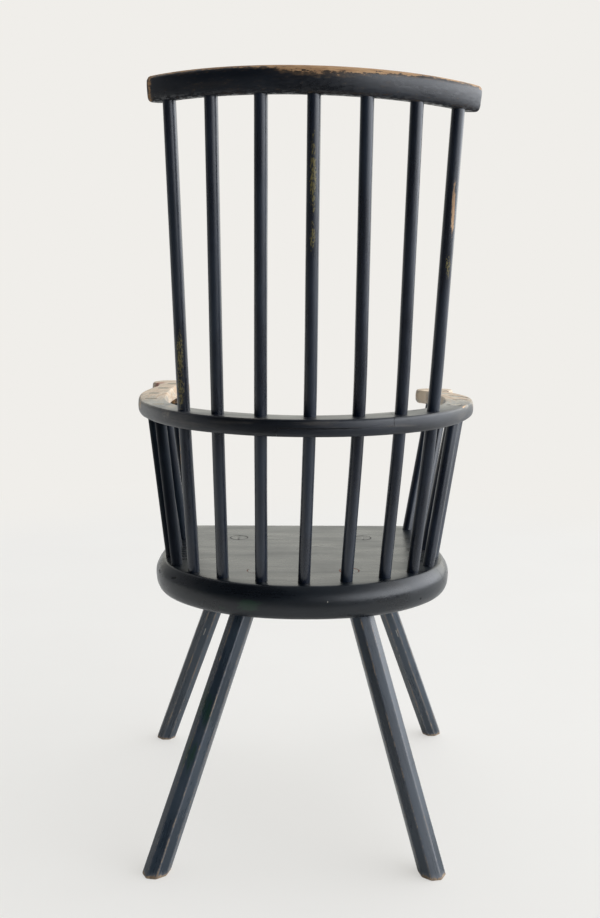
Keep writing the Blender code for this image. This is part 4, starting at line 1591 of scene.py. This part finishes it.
ahead = mask(tree, times(tree, north, -1.0), *FRONT_SPREAD)
low_down = minus(tree, 1.0, mask(tree, up, *UPPER_END))
risen = plus(tree, times(tree, mask(tree, up, *HORIZON), 1 - LOW_SHARE), LOW_SHARE)
window = times(tree, times(tree, facing(WINDOW_WAY, WINDOW_SPREAD), low_down), risen)
ceiling = times(tree, mask(tree, north, *CEILING_FROM), mask(tree, up, *CEILING_SPREAD))
shares = (
    (facing(DARK_WAY, DARK_SPREAD), DARK_LIGHT),
    (mask(tree, east, *SHADY_SPREAD), SHADY_LIGHT),
    (window, WINDOW_LIGHT),
    (times(tree, ahead, low_down), FRONT_LIGHT),
    (mask(tree, up, *ZENITH_SPREAD), ZENITH_LIGHT),
    (ceiling, CEILING_LIGHT),
)
strength = 1.0
for share, amount in shares:
    strength = plus(tree, strength, times(tree, share, amount))
print("the light is made of", len(shares), "shares")

# %% [markdown]
# The light is a little cooler from the window's side than from in front. The camera sees none of
# this: for its own rays the world is an even pale paper, at a strength of 1.

# %% World
LEAST_LIGHT = 0.04
COOL, WARM = srgb(244, 248, 255), srgb(252, 252, 243)
tint = blend(tree, ahead, COOL, WARM)
strength = larger(tree, strength, LEAST_LIGHT)
light = step(tree, "Background", {"Color": tint, "Strength": strength}).outputs[0]
paper = step(tree, "Background", {"Color": BACKGROUND, "Strength": 1.0}).outputs[0]
seen = step(tree, "LightPath", {}).outputs["Is Camera Ray"]
either = step(tree, "MixShader", {0: seen, 1: light, 2: paper}).outputs[0]
tree.links.new(either, tree.nodes["World Output"].inputs["Surface"])
print("the world is made of", len(tree.nodes), "steps")

# %% [markdown]
# A world alone casts almost no shadow. One large lamp on the window's side gives the chair's shadow
# on the floor its direction.

# %% Window lamp
LAMP_PLACE = Vector((-3.4, 0.2, 2.4))
LAMP_AIM = Vector((0, 0, 0.5))
LAMP_SIZE = 3.0
LAMP_WATTS = 26
LAMP_COLOUR = (1.0, 0.99, 0.97)
lamp = bpy.data.lights.new("window_lamp", "AREA")
lamp.shape = "RECTANGLE"
lamp.size = lamp.size_y = LAMP_SIZE
lamp.energy = LAMP_WATTS
lamp.color = LAMP_COLOUR
lamp_stand = bpy.data.objects.new("window_lamp", lamp)
bpy.context.scene.collection.objects.link(lamp_stand)
lamp_stand.location = LAMP_PLACE
lamp_stand.rotation_euler = (LAMP_AIM - LAMP_PLACE).to_track_quat("-Z", "Y").to_euler()
lamp_stand.visible_camera = False
print("the lamp stands", round(LAMP_PLACE.length, 2), "m from the chair")

# %% [markdown]
# ## Camera
# One camera was fitted to the photograph when the chair was measured: it stands 0.86 m above the
# floor behind the chair and looks a little down. Its place and its three directions are given
# as they came out of that fit.

# %% Camera
CAMERA_PLACE = Vector((-0.000367, 1.583453, 0.855429))
CAMERA_RIGHT = Vector((-0.99998327, -0.0054946, 0.0018069))
CAMERA_UP = Vector((0.00268476, -0.16422594, 0.9864191))
CAMERA_AHEAD = Vector((0.00512324, -0.98640745, -0.16423795))
FOCAL_PIXELS = 950
PICTURE_HEIGHT = 918
SENSOR_MM = 36.0
camera = bpy.data.cameras.new("camera")
camera.sensor_width = SENSOR_MM
camera.lens = camera.sensor_width * FOCAL_PIXELS / PICTURE_HEIGHT
camera_stand = bpy.data.objects.new("camera", camera)
bpy.context.scene.collection.objects.link(camera_stand)
turned = Matrix((CAMERA_RIGHT, CAMERA_UP, -CAMERA_AHEAD)).transposed()
camera_stand.matrix_world = Matrix.Translation(CAMERA_PLACE) @ turned.to_4x4()
bpy.context.scene.camera = camera_stand
bpy.context.scene.view_settings.view_transform = "Standard"
print("lens", round(camera.lens, 2), "mm")
